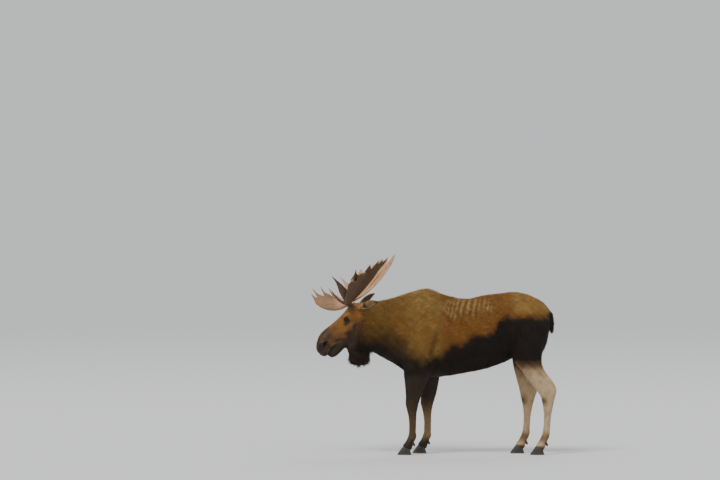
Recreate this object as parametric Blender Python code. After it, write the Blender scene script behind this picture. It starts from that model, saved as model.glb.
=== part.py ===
"""A bull moose in its autumn coat, in a slow stride. Metres, +Z up, the nose towards -X.

The flesh is lofted and fused into one body. Thin cuts then part it into trunk, neck, head, bell and legs.
Ears, eyes, tail, antlers, claws and dewclaws are pieces of their own, trimmed where they meet the body.
"""

import math

import bmesh
import bpy
import numpy as np
from mathutils import Matrix, Vector

# ---- Driving dimensions -------------------------------------------------------------------------
HUMP_HEIGHT = 1.96  # ground to the top of the hump, with its hair
HUMP_SMOOTHING = 0.008  # what smoothing takes off the top of the hump
GAP = 0.0003  # clearance where two solids meet
CUT = 0.0006  # width of the saw cut that parts the body

FUSE_VOXEL = 0.010  # grid on which the flesh is fused
FINE_TRIANGLES = 4150  # over the whole body at the density that head and legs need
BODY_TRIANGLES = 3250  # once the torso is made coarser
ANTLER_VOXEL = 0.006
SMOOTHING_ROUNDS = 64

HEAD_PITCH = math.radians(44)  # slope of the face below the horizontal
HEAD_YAW = math.radians(5)  # the nose swings this far away from the left side
POLL = Vector((-0.93, 0.0, 1.75))  # top of the skull, where the face frame starts
YAW_PIVOT = Vector((-0.72, 0.0, 1.5))  # joint of head and neck, about which the head swings

EYE_RADIUS = 0.024
EYE_AT = (0.183, -0.046, 0.0905)  # along the face, above its axis, out to the side

LEFT, RIGHT = -1, 1  # sides of the animal: its left is -Y
SIDES = ((LEFT, "left"), (RIGHT, "right"))
ANTLER_TRIANGLES = {LEFT: 570, RIGHT: 700}


# ---- Materials ----------------------------------------------------------------------------------
def material(name, colour, roughness):
    made = bpy.data.materials.new(name)
    made.use_nodes = True
    shader = made.node_tree.nodes["Principled BSDF"]
    shader.inputs["Base Color"].default_value = (*colour, 1.0)
    shader.inputs["Roughness"].default_value = roughness
    shader.inputs["Metallic"].default_value = 0.0
    return made


def clear_scene():
    for obj in list(bpy.data.objects):
        bpy.data.objects.remove(obj)


# ---- Building blocks ----------------------------------------------------------------------------
def new_object(name, mesh, finish=None):
    obj = bpy.data.objects.new(name, mesh)
    bpy.context.scene.collection.objects.link(obj)
    if finish is not None:
        mesh.materials.clear()
        mesh.materials.append(finish)
    return obj


def helper(name, mesh):
    """A cutter or guide, which is no part of the moose."""
    obj = new_object(name, mesh)
    obj.hide_render = True
    obj.display_type = "WIRE"
    return obj


def through(rows, steps):
    """Rows of numbers joined by a smooth curve, with this many steps from one row to the next."""
    rows = np.asarray(rows, float)
    padded = np.vstack([2 * rows[0] - rows[1], rows, 2 * rows[-1] - rows[-2]])
    found = []
    for i in range(1, len(padded) - 2):
        before, start, end, after = padded[i - 1 : i + 3]
        for t in np.arange(steps) / steps:
            curve = 2 * start + (end - before) * t
            curve += (2 * before - 5 * start + 4 * end - after) * t**2
            curve += (3 * start - before - 3 * end + after) * t**3
            found.append(curve / 2)
    found.append(rows[-1])
    return np.array(found)


def skin_over(rings):
    """A closed bmesh through rings of points, each capped by a point at its middle at the two ends."""
    made = bmesh.new()
    loops = [[made.verts.new(p) for p in ring] for ring in rings]
    count = len(loops[0])
    for first, second in zip(loops, loops[1:]):
        for k in range(count):
            n = (k + 1) % count
            made.faces.new((first[k], first[n], second[n], second[k]))
    for loop, turned in ((loops[0], True), (loops[-1], False)):
        middle = made.verts.new(sum((v.co for v in loop), Vector()) / count)
        for k in range(count):
            pair = (loop[k], loop[(k + 1) % count])
            made.faces.new((*(reversed(pair) if turned else pair), middle))
    bmesh.ops.recalc_face_normals(made, faces=made.faces)
    return made


def fuller(value, roundness):
    return math.copysign(abs(value) ** roundness, value)


def loft(sections, steps=5, sides=28, roundness=1.0):
    """A limb or trunk. A section is (ax, az, bx, bz, y, half width, pinch at a, pinch at b): a and b are
    the two ends of its long axis in the side view, and a pinch narrows the section towards that end.
    Roundness 1 makes ellipses, and less makes their corners fuller."""
    rings = []
    for ax, az, bx, bz, y, width, pinch_a, pinch_b in through(sections, steps):
        a, b = np.array((ax, az)), np.array((bx, bz))
        ring = []
        for angle in np.arange(sides) * 2 * math.pi / sides:
            along, out = fuller(math.cos(angle), roundness), fuller(math.sin(angle), roundness)
            x, z = (a + b) / 2 + (a - b) / 2 * along
            narrow = 1 - pinch_a * max(0, along) ** 2 - pinch_b * max(0, -along) ** 2
            ring.append((x, y + width * out * narrow, z))
        rings.append(ring)
    return skin_over(rings)


def curve_between(start, bend, end, count):
    """Points along the curve that leaves start towards bend and comes to end from it."""
    start, bend, end = Vector(start), Vector(bend), Vector(end)
    steps = [i / (count - 1) for i in range(count)]
    return [start * (1 - t) ** 2 + bend * 2 * t * (1 - t) + end * t**2 for t in steps]


def tube(path, half_widths, half_depths, flat_normal, sides=12):
    """A tube along a path of points, flattened against flat_normal."""
    rings = []
    for i, point in enumerate(path):
        along = (path[min(i + 1, len(path) - 1)] - path[max(i - 1, 0)]).normalized()
        across = along.cross(flat_normal).normalized()
        up = across.cross(along)
        ring = []
        for angle in np.arange(sides) * 2 * math.pi / sides:
            side = across * half_widths[i] * math.cos(angle)
            ring.append(point + side + up * half_depths[i] * math.sin(angle))
        rings.append(ring)
    return skin_over(rings)


def lump(centre, radii, tilt=0.0, segments=24):
    """An ellipsoid, turned by tilt about Y."""
    made = bmesh.new()
    bmesh.ops.create_uvsphere(made, u_segments=segments, v_segments=segments // 2, radius=1.0)
    place = Matrix.Translation(centre) @ Matrix.Rotation(tilt, 4, "Y") @ Matrix.Diagonal((*radii, 1))
    bmesh.ops.transform(made, matrix=place, verts=made.verts)
    return made


def ball(centre, radius, segments):
    made = bmesh.new()
    bmesh.ops.create_uvsphere(made, u_segments=segments, v_segments=segments // 2, radius=radius)
    bmesh.ops.translate(made, vec=centre, verts=made.verts)
    return made


def both_sides(make):
    """What make builds for the left side, and its mirror image for the right."""
    return [make(LEFT), make(RIGHT)]


def joined(name, parts):
    """One mesh of several bmeshes, which it uses up."""
    mesh = bpy.data.meshes.new(name)
    whole = bmesh.new()
    for part in parts:
        part.to_mesh(mesh)
        whole.from_mesh(mesh)
        part.free()
    bmesh.ops.recalc_face_normals(whole, faces=whole.faces)
    whole.to_mesh(mesh)
    whole.free()
    return mesh


def with_modifiers(mesh, *settings, weights=None):
    """The mesh after these modifiers, each given as (type, its values). Weights, one for each vertex, say
    how far they act there."""
    obj = bpy.data.objects.new("work", mesh)
    bpy.context.scene.collection.objects.link(obj)
    if weights is not None:
        group = obj.vertex_groups.new(name="share")
        for index, weight in enumerate(weights):
            if weight > 0:
                group.add([index], weight, "REPLACE")
    for kind, values in settings:
        modifier = obj.modifiers.new(kind.lower(), kind)
        for key, value in values.items():
            setattr(modifier, key, value)
        if weights is not None:
            modifier.vertex_group = "share"
    bpy.context.view_layer.update()
    graph = bpy.context.evaluated_depsgraph_get()
    made = bpy.data.meshes.new_from_object(obj.evaluated_get(graph))
    bpy.data.objects.remove(obj)
    return made


def fused(parts, voxel, triangles, blend):
    """Overlapping closed shapes as one skin of about this many triangles. Blend gives how far a point is
    smoothed into its surroundings, from 0 to 1."""
    mesh = with_modifiers(
        joined("parts", parts),
        ("REMESH", {"mode": "VOXEL", "voxel_size": voxel, "adaptivity": 0.0}),
    )
    weights = [blend(v.co) for v in mesh.vertices]
    smoothing = ("SMOOTH", {"factor": 0.5, "iterations": SMOOTHING_ROUNDS})
    mesh = with_modifiers(mesh, smoothing, weights=weights)
    mesh = with_modifiers(mesh, ("TRIANGULATE", {}))
    return with_modifiers(mesh, ("DECIMATE", {"ratio": triangles / len(mesh.polygons)}))


def coarser(mesh, triangles, where):
    """The mesh with this many triangles in all, taken out only where the test holds."""
    weights = [1.0 if where(v.co) else 0.0 for v in mesh.vertices]
    ratio = triangles / len(mesh.polygons)
    return with_modifiers(mesh, ("DECIMATE", {"ratio": ratio}), weights=weights)


def boolean(mesh, cutter_mesh, operation="DIFFERENCE"):
    cutter = helper("cutter", cutter_mesh)
    made = with_modifiers(
        mesh, ("BOOLEAN", {"object": cutter, "operation": operation, "solver": "EXACT"})
    )
    bpy.data.objects.remove(cutter)
    return made


def swollen(mesh, by):
    """A copy of the mesh with its surface moved out by this much, for cutting a neighbour clear of it."""
    made = mesh.copy()
    bm = bmesh.new()
    bm.from_mesh(made)
    bm.normal_update()
    moved = [v.co + v.normal * by for v in bm.verts]
    for vert, place in zip(bm.verts, moved):
        vert.co = place
    bm.to_mesh(made)
    bm.free()
    return made


def largest_island(mesh):
    """The biggest connected piece of the mesh, without crumbs that a cut may leave."""
    islands = split_islands(mesh)
    return max(islands, key=lambda island: len(island.polygons))


def split_islands(mesh):
    """Each connected piece of the mesh as a mesh of its own."""
    bm = bmesh.new()
    bm.from_mesh(mesh)
    unseen, found = set(bm.verts), []
    while unseen:
        front = [unseen.pop()]
        group = set(front)
        while front:
            vert = front.pop()
            for edge in vert.link_edges:
                other = edge.other_vert(vert)
                if other in unseen:
                    unseen.discard(other)
                    group.add(other)
                    front.append(other)
        found.append({v.index for v in group})
    bm.free()
    meshes = []
    for group in found:
        piece = bmesh.new()
        piece.from_mesh(mesh)
        bmesh.ops.delete(piece, geom=[v for v in piece.verts if v.index not in group], context="VERTS")
        made = bpy.data.meshes.new("island")
        piece.to_mesh(made)
        piece.free()
        meshes.append(made)
    return meshes


# ---- Head frame ---------------------------------------------------------------------------------
FACE = Vector((-math.cos(HEAD_PITCH), 0, -math.sin(HEAD_PITCH)))  # from the poll towards the nose
BROW = Vector((-math.sin(HEAD_PITCH), 0, math.cos(HEAD_PITCH)))  # out of the forehead


def on_head(along, above, out=0.0):
    """A point given along the face from the poll, above its axis, and out to the side."""
    return POLL + FACE * along + BROW * above + Vector((0, out, 0))


def head_section(along, top, bottom, width, pinch_top=0.0, pinch_bottom=0.0):
    a, b = on_head(along, top), on_head(along, bottom)
    return (a.x, a.z, b.x, b.z, 0, width, pinch_top, pinch_bottom)


SWING = (
    Matrix.Translation(YAW_PIVOT)
    @ Matrix.Rotation(-HEAD_YAW, 4, "Z")
    @ Matrix.Translation(-YAW_PIVOT)
)


def swung(point):
    """Where the yaw of the neck takes a point of the head."""
    return SWING @ point


def swing(bm):
    bmesh.ops.transform(bm, matrix=SWING, verts=bm.verts)
    return bm


# ---- Flesh --------------------------------------------------------------------------------------
def trunk_and_neck():
    """Barrel, hump and neck, from the buttocks to the throat: a is the back and b the belly."""
    return loft(
        (
            (1.378, 1.62, 1.368, 1.50, 0, 0.06, 0.0, 0.0),
            (1.345, 1.72, 1.325, 1.36, 0, 0.17, 0.1, 0.0),
            (1.240, 1.82, 1.225, 1.24, 0, 0.235, 0.25, 0.0),
            (1.020, 1.915, 1.040, 1.19, 0, 0.270, 0.40, 0.0),
            (0.790, 1.903, 0.820, 1.07, 0, 0.295, 0.38, 0.1),
            (0.560, 1.872, 0.600, 0.995, 0, 0.320, 0.30, 0.1),
            (0.330, 1.835, 0.370, 0.950, 0, 0.330, 0.28, 0.1),
            (0.130, 1.885, 0.170, 0.915, 0, 0.315, 0.42, 0.15),
            (-0.080, HUMP_HEIGHT + HUMP_SMOOTHING, -0.060, 0.895, 0, 0.285, 0.42, 0.3),
            (-0.260, 1.936, -0.290, 0.940, 0, 0.255, 0.38, 0.25),
            (-0.430, 1.872, -0.480, 1.058, 0, 0.215, 0.28, 0.15),
            (-0.600, 1.827, -0.640, 1.142, 0, 0.180, 0.2, 0.15),
            (-0.760, 1.795, -0.800, 1.230, 0, 0.152, 0.15, 0.1),
            (-0.890, 1.740, -0.930, 1.270, 0, 0.122, 0.1, 0.1),
            (-0.970, 1.650, -1.000, 1.340, 0, 0.080, 0.0, 0.0),
        ),
        sides=36,
    )


def shoulder(side):
    return lump((-0.14, side * 0.165, 1.37), (0.22, 0.125, 0.37), tilt=0.15)


def shoulder_point(side):
    return lump((-0.30, side * 0.150, 1.22), (0.14, 0.10, 0.20))


def haunch(side):
    return lump((1.08, side * 0.135, 1.46), (0.27, 0.140, 0.35), tilt=-0.1)


def hip_bone(side):
    return lump((0.88, side * 0.170, 1.69), (0.13, 0.055, 0.08))


# Sections of the legs: (front x, front z, rear x, rear z, half width), from the body to the pastern.
NEAR_THIGH = (
    (0.95, 1.52, 1.335, 1.56, 0.115),
    (0.895, 1.28, 1.320, 1.34, 0.120),
    (0.905, 1.11, 1.268, 1.16, 0.100),
)
LEFT_HIND = NEAR_THIGH + (
    (1.010, 0.985, 1.285, 1.02, 0.080),
    (1.100, 0.86, 1.350, 0.92, 0.062),
    (1.172, 0.775, 1.412, 0.835, 0.052),
    (1.232, 0.695, 1.438, 0.755, 0.052),
    (1.258, 0.60, 1.408, 0.63, 0.043),
    (1.278, 0.45, 1.374, 0.46, 0.036),
    (1.266, 0.29, 1.358, 0.30, 0.035),
    (1.240, 0.205, 1.354, 0.215, 0.043),
    (1.198, 0.125, 1.300, 0.115, 0.044),
    (1.190, 0.095, 1.275, 0.075, 0.036),
)
RIGHT_HIND = NEAR_THIGH + (
    (0.942, 0.96, 1.195, 1.01, 0.080),
    (0.970, 0.86, 1.200, 0.92, 0.062),
    (0.990, 0.78, 1.222, 0.845, 0.052),
    (1.008, 0.695, 1.230, 0.765, 0.052),
    (1.030, 0.60, 1.185, 0.63, 0.043),
    (1.050, 0.45, 1.147, 0.46, 0.036),
    (1.040, 0.29, 1.132, 0.30, 0.035),
    (1.015, 0.205, 1.129, 0.215, 0.043),
    (0.973, 0.125, 1.075, 0.115, 0.044),
    (0.965, 0.095, 1.050, 0.075, 0.036),
)
FORE_LEG = (
    (-0.385, 1.28, -0.045, 1.28, 0.100),
    (-0.380, 1.07, -0.020, 1.05, 0.098),
    (-0.365, 0.93, -0.050, 0.92, 0.088),
    (-0.352, 0.81, -0.105, 0.81, 0.073),
    (-0.344, 0.69, -0.152, 0.69, 0.060),
    (-0.345, 0.59, -0.185, 0.585, 0.058),
    (-0.320, 0.49, -0.204, 0.49, 0.044),
    (-0.305, 0.38, -0.210, 0.38, 0.036),
    (-0.306, 0.26, -0.212, 0.27, 0.036),
    (-0.324, 0.195, -0.208, 0.205, 0.043),
    (-0.362, 0.125, -0.257, 0.115, 0.044),
    (-0.368, 0.095, -0.283, 0.075, 0.036),
)
FORE_STEP = 0.18  # the right foreleg stands this far behind the left one
HIND_TRACK, HIND_HIP = 0.155, 0.165  # out from the middle at the foot and at the hip
FORE_TRACK, FORE_CHEST = 0.165, 0.180


def leg(sections, side, track, top_out, step=0.0):
    """A leg whose foot stands at track, and whose top is top_out from the middle. A step moves the foot."""
    top, foot = sections[0][1], sections[-1][1]
    rows = []
    for front_x, front_z, rear_x, rear_z, width in sections:
        up = (front_z - foot) / (top - foot)
        moved = step * min(1.0, (1 - up) / 0.45)
        out = side * (track + (top_out - track) * up)
        rows.append((front_x + moved, front_z, rear_x + moved, rear_z, out, width, 0.1, 0.35))
    return loft(rows)


def hind_sections(side):
    return LEFT_HIND if side == LEFT else RIGHT_HIND


def fore_step(side):
    return FORE_STEP if side == RIGHT else 0.0


def hind_leg(side):
    return leg(hind_sections(side), side, HIND_TRACK, HIND_HIP)


def fore_leg(side):
    return leg(FORE_LEG, side, FORE_TRACK, FORE_CHEST, fore_step(side))


def skull_and_muzzle():
    """The upper head, from behind the poll to the overhanging upper lip."""
    return loft(
        (
            head_section(-0.09, -0.03, -0.20, 0.07),
            head_section(-0.02, 0.020, -0.26, 0.110),
            head_section(0.08, 0.040, -0.30, 0.118, 0.0, 0.1),
            head_section(0.18, 0.034, -0.29, 0.104, 0.05, 0.15),
            head_section(0.29, 0.033, -0.255, 0.082, 0.15, 0.1),
            head_section(0.39, 0.041, -0.225, 0.073, 0.15),
            head_section(0.48, 0.049, -0.205, 0.078, 0.15),
            head_section(0.56, 0.040, -0.195, 0.090, 0.1),
            head_section(0.63, 0.006, -0.200, 0.092, 0.05),
            head_section(0.68, -0.032, -0.185, 0.078),
            head_section(0.705, -0.075, -0.15, 0.045),
        ),
        roundness=0.8,
    )


def lower_jaw():
    return loft(
        (
            head_section(0.08, -0.12, -0.315, 0.080),
            head_section(0.24, -0.14, -0.300, 0.072),
            head_section(0.38, -0.16, -0.278, 0.056),
            head_section(0.50, -0.17, -0.280, 0.056),
            head_section(0.585, -0.185, -0.276, 0.058),
            head_section(0.640, -0.205, -0.248, 0.034),
        ),
        roundness=0.85,
    )


def bell():
    """The flap of skin and long hair that hangs from the throat: a is its front edge."""
    return loft(
        (
            (-0.98, 1.46, -0.68, 1.46, 0, 0.085, 0.0, 0.0),
            (-1.020, 1.34, -0.720, 1.32, 0, 0.080, 0.0, 0.0),
            (-1.040, 1.25, -0.745, 1.23, 0, 0.066, 0.0, 0.0),
            (-1.010, 1.16, -0.758, 1.15, 0, 0.050, 0.0, 0.0),
            (-0.975, 1.09, -0.780, 1.09, 0, 0.036, 0.0, 0.0),
            (-0.93, 1.05, -0.83, 1.05, 0, 0.018, 0.0, 0.0),
        )
    )


def cheek(side):
    return lump(on_head(0.17, -0.17, side * 0.060), (0.13, 0.045, 0.11), tilt=-HEAD_PITCH)


def brow_ridge(side):
    return lump(on_head(0.145, -0.022, side * 0.078), (0.060, 0.034, 0.028), tilt=-HEAD_PITCH)


def pedicle(side):
    """The bony stalk under the antler's burr."""
    return lump(on_head(0.050, -0.005, side * 0.075), (0.050, 0.055, 0.042))


def nostril_wing(side):
    return lump(on_head(0.60, -0.055, side * 0.068), (0.055, 0.034, 0.045), tilt=-HEAD_PITCH)


def nostril(side):
    """The opening on the side of the muzzle, as a cutter."""
    centre = on_head(0.570, -0.078, side * 0.112)
    return swing(lump(centre, (0.042, 0.030, 0.019), tilt=-0.2, segments=12))


def eye_centre(side):
    along, above, out = EYE_AT
    return swung(on_head(along, above, side * out))


def body_flesh():
    """All the flesh but the ears and tail, fused. The torso blends far more than the head and legs."""
    parts = [trunk_and_neck(), swing(skull_and_muzzle()), swing(lower_jaw()), swing(bell())]
    for make in (shoulder, shoulder_point, haunch, hip_bone, hind_leg, fore_leg):
        parts += both_sides(make)
    for make in (cheek, brow_ridge, pedicle, nostril_wing):
        parts += [swing(part) for part in both_sides(make)]
    mesh = fused(parts, FUSE_VOXEL, FINE_TRIANGLES, body_blend)
    mesh = coarser(mesh, BODY_TRIANGLES, lambda point: body_blend(point) > 0.6)
    for side in (LEFT, RIGHT):
        mesh = boolean(mesh, joined("nostril", [nostril(side)]))
        mesh = boolean(mesh, joined("socket", [ball(eye_centre(side), EYE_RADIUS + GAP, 12)]))
    return mesh


def body_blend(point):
    """1 in the torso, where muscles blend into each other, falling off in the legs and the head."""
    above_legs = min(1.0, max(0.0, (point.z - 0.88) / 0.25))
    behind_head = min(1.0, max(0.0, (point.x + 0.96) / 0.18))
    in_bell = point.x < -0.66 and point.z < 1.3
    return max(0.07, above_legs * behind_head * (0.3 if in_bell else 1.0))


# ---- Ears and tail ------------------------------------------------------------------------------
EAR_WIDTHS = (0.026, 0.040, 0.055, 0.060, 0.054, 0.038, 0.012)
EAR_DEPTHS = (0.026, 0.032, 0.036, 0.034, 0.026, 0.015, 0.005)
# Root, bend, tip and the way the opening faces. The right ear is held higher.
EARS = {
    LEFT: (
        (-0.900, -0.085, 1.715),
        (-0.800, -0.220, 1.765),
        (-0.655, -0.265, 1.800),
        (-0.45, -0.85, 0.25),
    ),
    RIGHT: (
        (-0.885, 0.115, 1.720),
        (-0.830, 0.235, 1.810),
        (-0.690, 0.300, 1.885),
        (-0.60, 0.70, 0.40),
    ),
}


def ear(side):
    """A leaf with its inside hollowed out."""
    root, bend, tip, opening = EARS[side]
    opening = Vector(opening).normalized()
    path = curve_between(root, bend, tip, len(EAR_WIDTHS))
    outside = tube(path, EAR_WIDTHS, EAR_DEPTHS, opening, sides=10)
    inner = [point + opening * 0.020 for point in path[2:]]
    hollow = tube(
        inner, [w * 0.74 for w in EAR_WIDTHS[2:]], [d * 0.85 for d in EAR_DEPTHS[2:]], opening, sides=8
    )
    return boolean(joined("ear", [outside]), joined("hollow", [hollow]))


def tail():
    """A short flat tail, with the hair that hangs from its tip."""
    path = curve_between((1.30, 0, 1.72), (1.405, 0, 1.66), (1.376, 0, 1.43), 7)
    widths = (0.030, 0.034, 0.037, 0.038, 0.034, 0.024, 0.008)
    depths = (0.020, 0.022, 0.023, 0.022, 0.019, 0.014, 0.005)
    return joined("tail", [tube(path, widths, depths, Vector((1, 0, 0.2)), sides=12)])


# ---- Antlers ------------------------------------------------------------------------------------
PALM_FACING = Vector((-0.57, 0.51, 0.64))  # out of the hollow side of the left palm
# The points of an antler: (tip, bend or None for straight, half width of the palm, how far it reaches).
# Distances from the middle are given as if the antler were the right one.
PALMS = {
    LEFT: {
        "root": ((-0.972, 0.045, 1.715), (-0.995, 0.135, 1.768), (-1.020, 0.270, 1.780)),
        "palm": (
            ((-0.555, 0.420, 2.308), (-0.820, 0.385, 2.010), 0.040, 0.86),
            ((-0.607, 0.500, 2.301), None, 0.050, 0.86),
            ((-0.660, 0.560, 2.285), None, 0.056, 0.86),
            ((-0.758, 0.630, 2.242), None, 0.064, 0.86),
            ((-0.835, 0.655, 2.150), None, 0.070, 1.00),
            ((-0.922, 0.682, 2.190), None, 0.058, 0.78),
            ((-0.955, 0.640, 2.068), None, 0.060, 0.86),
            ((-1.207, 0.600, 2.106), (-1.058, 0.440, 1.965), 0.052, 0.45),
        ),
        "brow": (
            ((-1.207, 0.330, 1.933), (-1.130, 0.300, 1.785), 0.030, 0.42),
            ((-1.190, 0.215, 1.905), (-1.130, 0.230, 1.780), 0.030, 0.42),
        ),
    },
    RIGHT: {
        "root": ((-0.958, 0.090, 1.715), (-0.975, 0.180, 1.770), (-0.985, 0.310, 1.790)),
        "palm": (
            ((-0.457, 0.450, 2.345), (-0.679, 0.400, 1.925), 0.056, 0.86),
            ((-0.545, 0.545, 2.305), None, 0.060, 0.86),
            ((-0.620, 0.610, 2.280), None, 0.062, 0.86),
            ((-0.705, 0.665, 2.225), None, 0.066, 0.86),
            ((-0.780, 0.690, 2.140), None, 0.070, 1.00),
            ((-0.860, 0.715, 2.165), None, 0.066, 0.82),
            ((-0.930, 0.665, 2.030), None, 0.075, 1.00),
            ((-1.110, 0.650, 2.060), (-0.975, 0.490, 1.945), 0.046, 0.46),
        ),
        "brow": (
            ((-1.455, 0.300, 1.881), (-1.265, 0.235, 1.610), 0.046, 0.78),
            ((-1.435, 0.330, 1.938), (-1.265, 0.260, 1.670), 0.046, 0.74),
            ((-1.345, 0.360, 1.965), (-1.230, 0.300, 1.720), 0.046, 0.70),
            ((-1.244, 0.370, 1.943), (-1.160, 0.330, 1.760), 0.042, 0.62),
        ),
    },
}
BEAM_RADIUS = 0.029
TINE_RADIUS = 0.0125
FINGER_RINGS = 16
LONG_TINE = 0.6  # a point whose palm ends short of this share is a long tine
BLUNT_TAPER, TINE_TAPER = 0.12, 0.38  # the share of a point over which it narrows past its palm
PALM_SAG = 0.070  # how far the palm's middle bulges out of its back
ANTLER_BLEND = 0.10


def between(t, *stops):
    """The value at t on a line through stops of (t, value)."""
    return float(np.interp(t, [stop[0] for stop in stops], [stop[1] for stop in stops]))


def finger(root, tip, bend, half_width, reach, facing):
    """A flat strip of palm that narrows to a round tine, from the end of the beam to the tine's tip."""
    path = curve_between(root, bend, tip, FINGER_RINGS)
    end = min(1.0, reach + (BLUNT_TAPER if reach > LONG_TINE else TINE_TAPER))
    tine = TINE_RADIUS if reach < 1 else 0.02
    width_stops = ((0, 0.030), (0.3, half_width), (reach, half_width), (end, tine), (1.001, 0.004))
    depth_stops = ((0, 0.026), (0.3, 0.015), (reach, 0.010), (end, 0.010), (1.001, 0.004))
    steps = [i / (FINGER_RINGS - 1) for i in range(FINGER_RINGS)]
    widths = [between(t, *width_stops) for t in steps]
    depths = [between(t, *depth_stops) for t in steps]
    return tube(path, widths, depths, facing)


def fan(root, rows, flip, facing, sag):
    """Fingers side by side from one root. Each lies flat in the sheet that its neighbours span."""
    root = Vector(root)
    tips = [Vector(row[0]) * flip for row in rows]
    fingers = []
    for i, (_, bend, half_width, reach) in enumerate(rows):
        across = tips[min(i + 1, len(tips) - 1)] - tips[max(i - 1, 0)]
        normal = across.cross(tips[i] - root).normalized()
        normal = (normal * math.copysign(1, normal.dot(facing)) + facing * 0.5).normalized()
        if bend is None:
            bend = (root + tips[i]) / 2 - normal * sag
        else:
            bend = Vector(bend) * flip
        fingers.append(finger(root, tips[i], bend, half_width, reach, normal))
    return fingers


def antler(side):
    """Beam, palm and brow palm of one antler as one mesh, with the frame in which it is cut apart."""
    points = PALMS[side]
    flip = Vector((1, side, 1))
    facing = (PALM_FACING * Vector((1, -side, 1))).normalized()
    root, middle, fork = [Vector(p) * flip for p in points["root"]]
    past_fork = fork * 2 - fork.lerp(middle, 0.2)
    beam = tube(
        [root, root.lerp(middle, 0.5), middle, middle.lerp(fork, 0.5), fork, past_fork],
        (0.040, 0.040, 0.030, BEAM_RADIUS, 0.034, 0.02),
        (0.038, 0.038, 0.029, BEAM_RADIUS, 0.028, 0.015),
        facing,
    )
    burr = lump(root.lerp(middle, 0.45), (0.048, 0.020, 0.048))
    brow_facing = Vector((0.2, -side, 0.25)).normalized()
    palm = fan(fork, points["palm"], flip, facing, PALM_SAG)
    brow = fan(middle.lerp(fork, 0.75), points["brow"], flip, brow_facing, 0)
    parts = [beam, burr, *palm, *brow]
    return fused(parts, ANTLER_VOXEL, ANTLER_TRIANGLES[side], lambda point: ANTLER_BLEND)


# ---- Hooves -------------------------------------------------------------------------------------
CLAW_WIDTH = 0.054
CLEFT = 0.005  # between the two claws
CORONET_FRONT, CORONET_HEEL = 0.098, 0.062  # height of the hoof's top edge
CLAW_TOE, CLAW_HEEL = 0.072, 0.012  # how far a claw reaches past the pastern, in front and behind
DEWCLAW_BACK, DEWCLAW_OUT = 0.036, 0.026  # a dewclaw's place behind the pastern and out from its middle
# The sole's outline, from the toe round the cleft side to the wall: (share of length, share of width).
CLAW_OUTLINE = (
    (0.0, 0.10),
    (0.10, -0.36),
    (0.45, -0.50),
    (0.85, -0.48),
    (1.0, -0.25),
    (1.0, 0.20),
    (0.85, 0.46),
    (0.50, 0.50),
    (0.18, 0.34),
    (0.05, 0.20),
)
# Rings from the sole to the coronet: (share of the height, how far the toe leans back, swell).
CLAW_LEVELS = ((0.0, 0.0, 0.97), (0.12, 0.02, 1.0), (0.55, 0.20, 0.97), (1.0, 0.40, 0.88))


def claw(toe_x, heel_x, middle_y, outer):
    """One half of a cloven hoof with a flat sole. Outer is the side its wall curves towards, -1 or +1."""
    rings = []
    for up, slope, swell in CLAW_LEVELS:
        ring = []
        for along, out in CLAW_OUTLINE:
            height = CORONET_FRONT + (CORONET_HEEL - CORONET_FRONT) * along
            x = toe_x + (heel_x - toe_x) * (along + slope * (1 - along) - 0.10 * up * along)
            ring.append((x, middle_y + outer * out * CLAW_WIDTH * swell, up * height))
        rings.append(ring)
    return skin_over(rings)


def dewclaw(x, y):
    return lump((x, y, 0.130), (0.019, 0.016, 0.036), tilt=-0.45, segments=6)


def feet():
    """(name, side, front x, rear x, y) of each foot, at the end of its pastern."""
    found = []
    for side, side_name in SIDES:
        front, _, rear, _, _ = FORE_LEG[-1]
        step = fore_step(side)
        found.append((f"fore_{side_name}", side, front + step, rear + step, side * FORE_TRACK))
        front, _, rear, _, _ = hind_sections(side)[-1]
        found.append((f"hind_{side_name}", side, front, rear, side * HIND_TRACK))
    return found


# ---- Parting the body ---------------------------------------------------------------------------
def slab(point, normal, half_length, half_width):
    """A saw cut: a thin plate across normal, with its length as near to the X direction as it can be."""
    normal = Vector(normal).normalized()
    length = Vector((1, 0, 0)) if abs(normal.x) < 0.8 else Vector((0, 0, 1))
    length = (length - normal * length.dot(normal)).normalized()
    turn = Matrix((length, normal.cross(length), normal)).transposed().to_4x4()
    made = bmesh.new()
    bmesh.ops.create_cube(made, size=2.0)
    place = Matrix.Translation(point) @ turn @ Matrix.Diagonal((half_length, half_width, CUT / 2, 1))
    bmesh.ops.transform(made, matrix=place, verts=made.verts)
    return joined("slab", [made])


def part_off(mesh, point, towards, half_length, half_width):
    """Saws the mesh through at point. Returns the piece that lies towards that direction, and the rest."""
    point, towards = Vector(point), Vector(towards).normalized()
    reach = math.hypot(half_length, half_width)
    pieces = split_islands(boolean(mesh, slab(point, towards, half_length, half_width)))
    pieces.sort(key=lambda piece: len(piece.polygons))
    ahead, behind = None, None
    for piece in pieces:
        offsets = [v.co - point for v in piece.vertices]
        sawn = [away.dot(towards) for away in offsets if away.length < reach]
        if sum(depth for depth in sawn if abs(depth) < CUT) > 0:
            ahead = piece
        else:
            behind = piece
    return ahead, behind


# Saw cuts: (point, direction towards the piece that comes off, half length, half width).
BELL_CUT = ((-0.910, 0, 1.187), (-0.11, 0, -0.994), 0.165, 0.15)
HEAD_CUT = ((-0.865, 0, 1.55), (-0.973, 0, 0.23), 0.45, 0.30)
NECK_CUT = ((-0.405, 0, 1.45), (-0.985, 0, 0.17), 0.60, 0.40)
PALM_CUT_AT, BROW_CUT_AT = 0.075, 0.050  # from the beam's fork


def crossing(sections, row, out, step=0.0):
    """The middle of a leg's section, and the direction of the leg's run down from there."""
    here, below = sections[row], sections[row + 1]
    middle = Vector(((here[0] + here[2]) / 2 + step, out, (here[1] + here[3]) / 2))
    next_middle = Vector(((below[0] + below[2]) / 2 + step, out, (below[1] + below[3]) / 2))
    return middle, (next_middle - middle).normalized()


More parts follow.
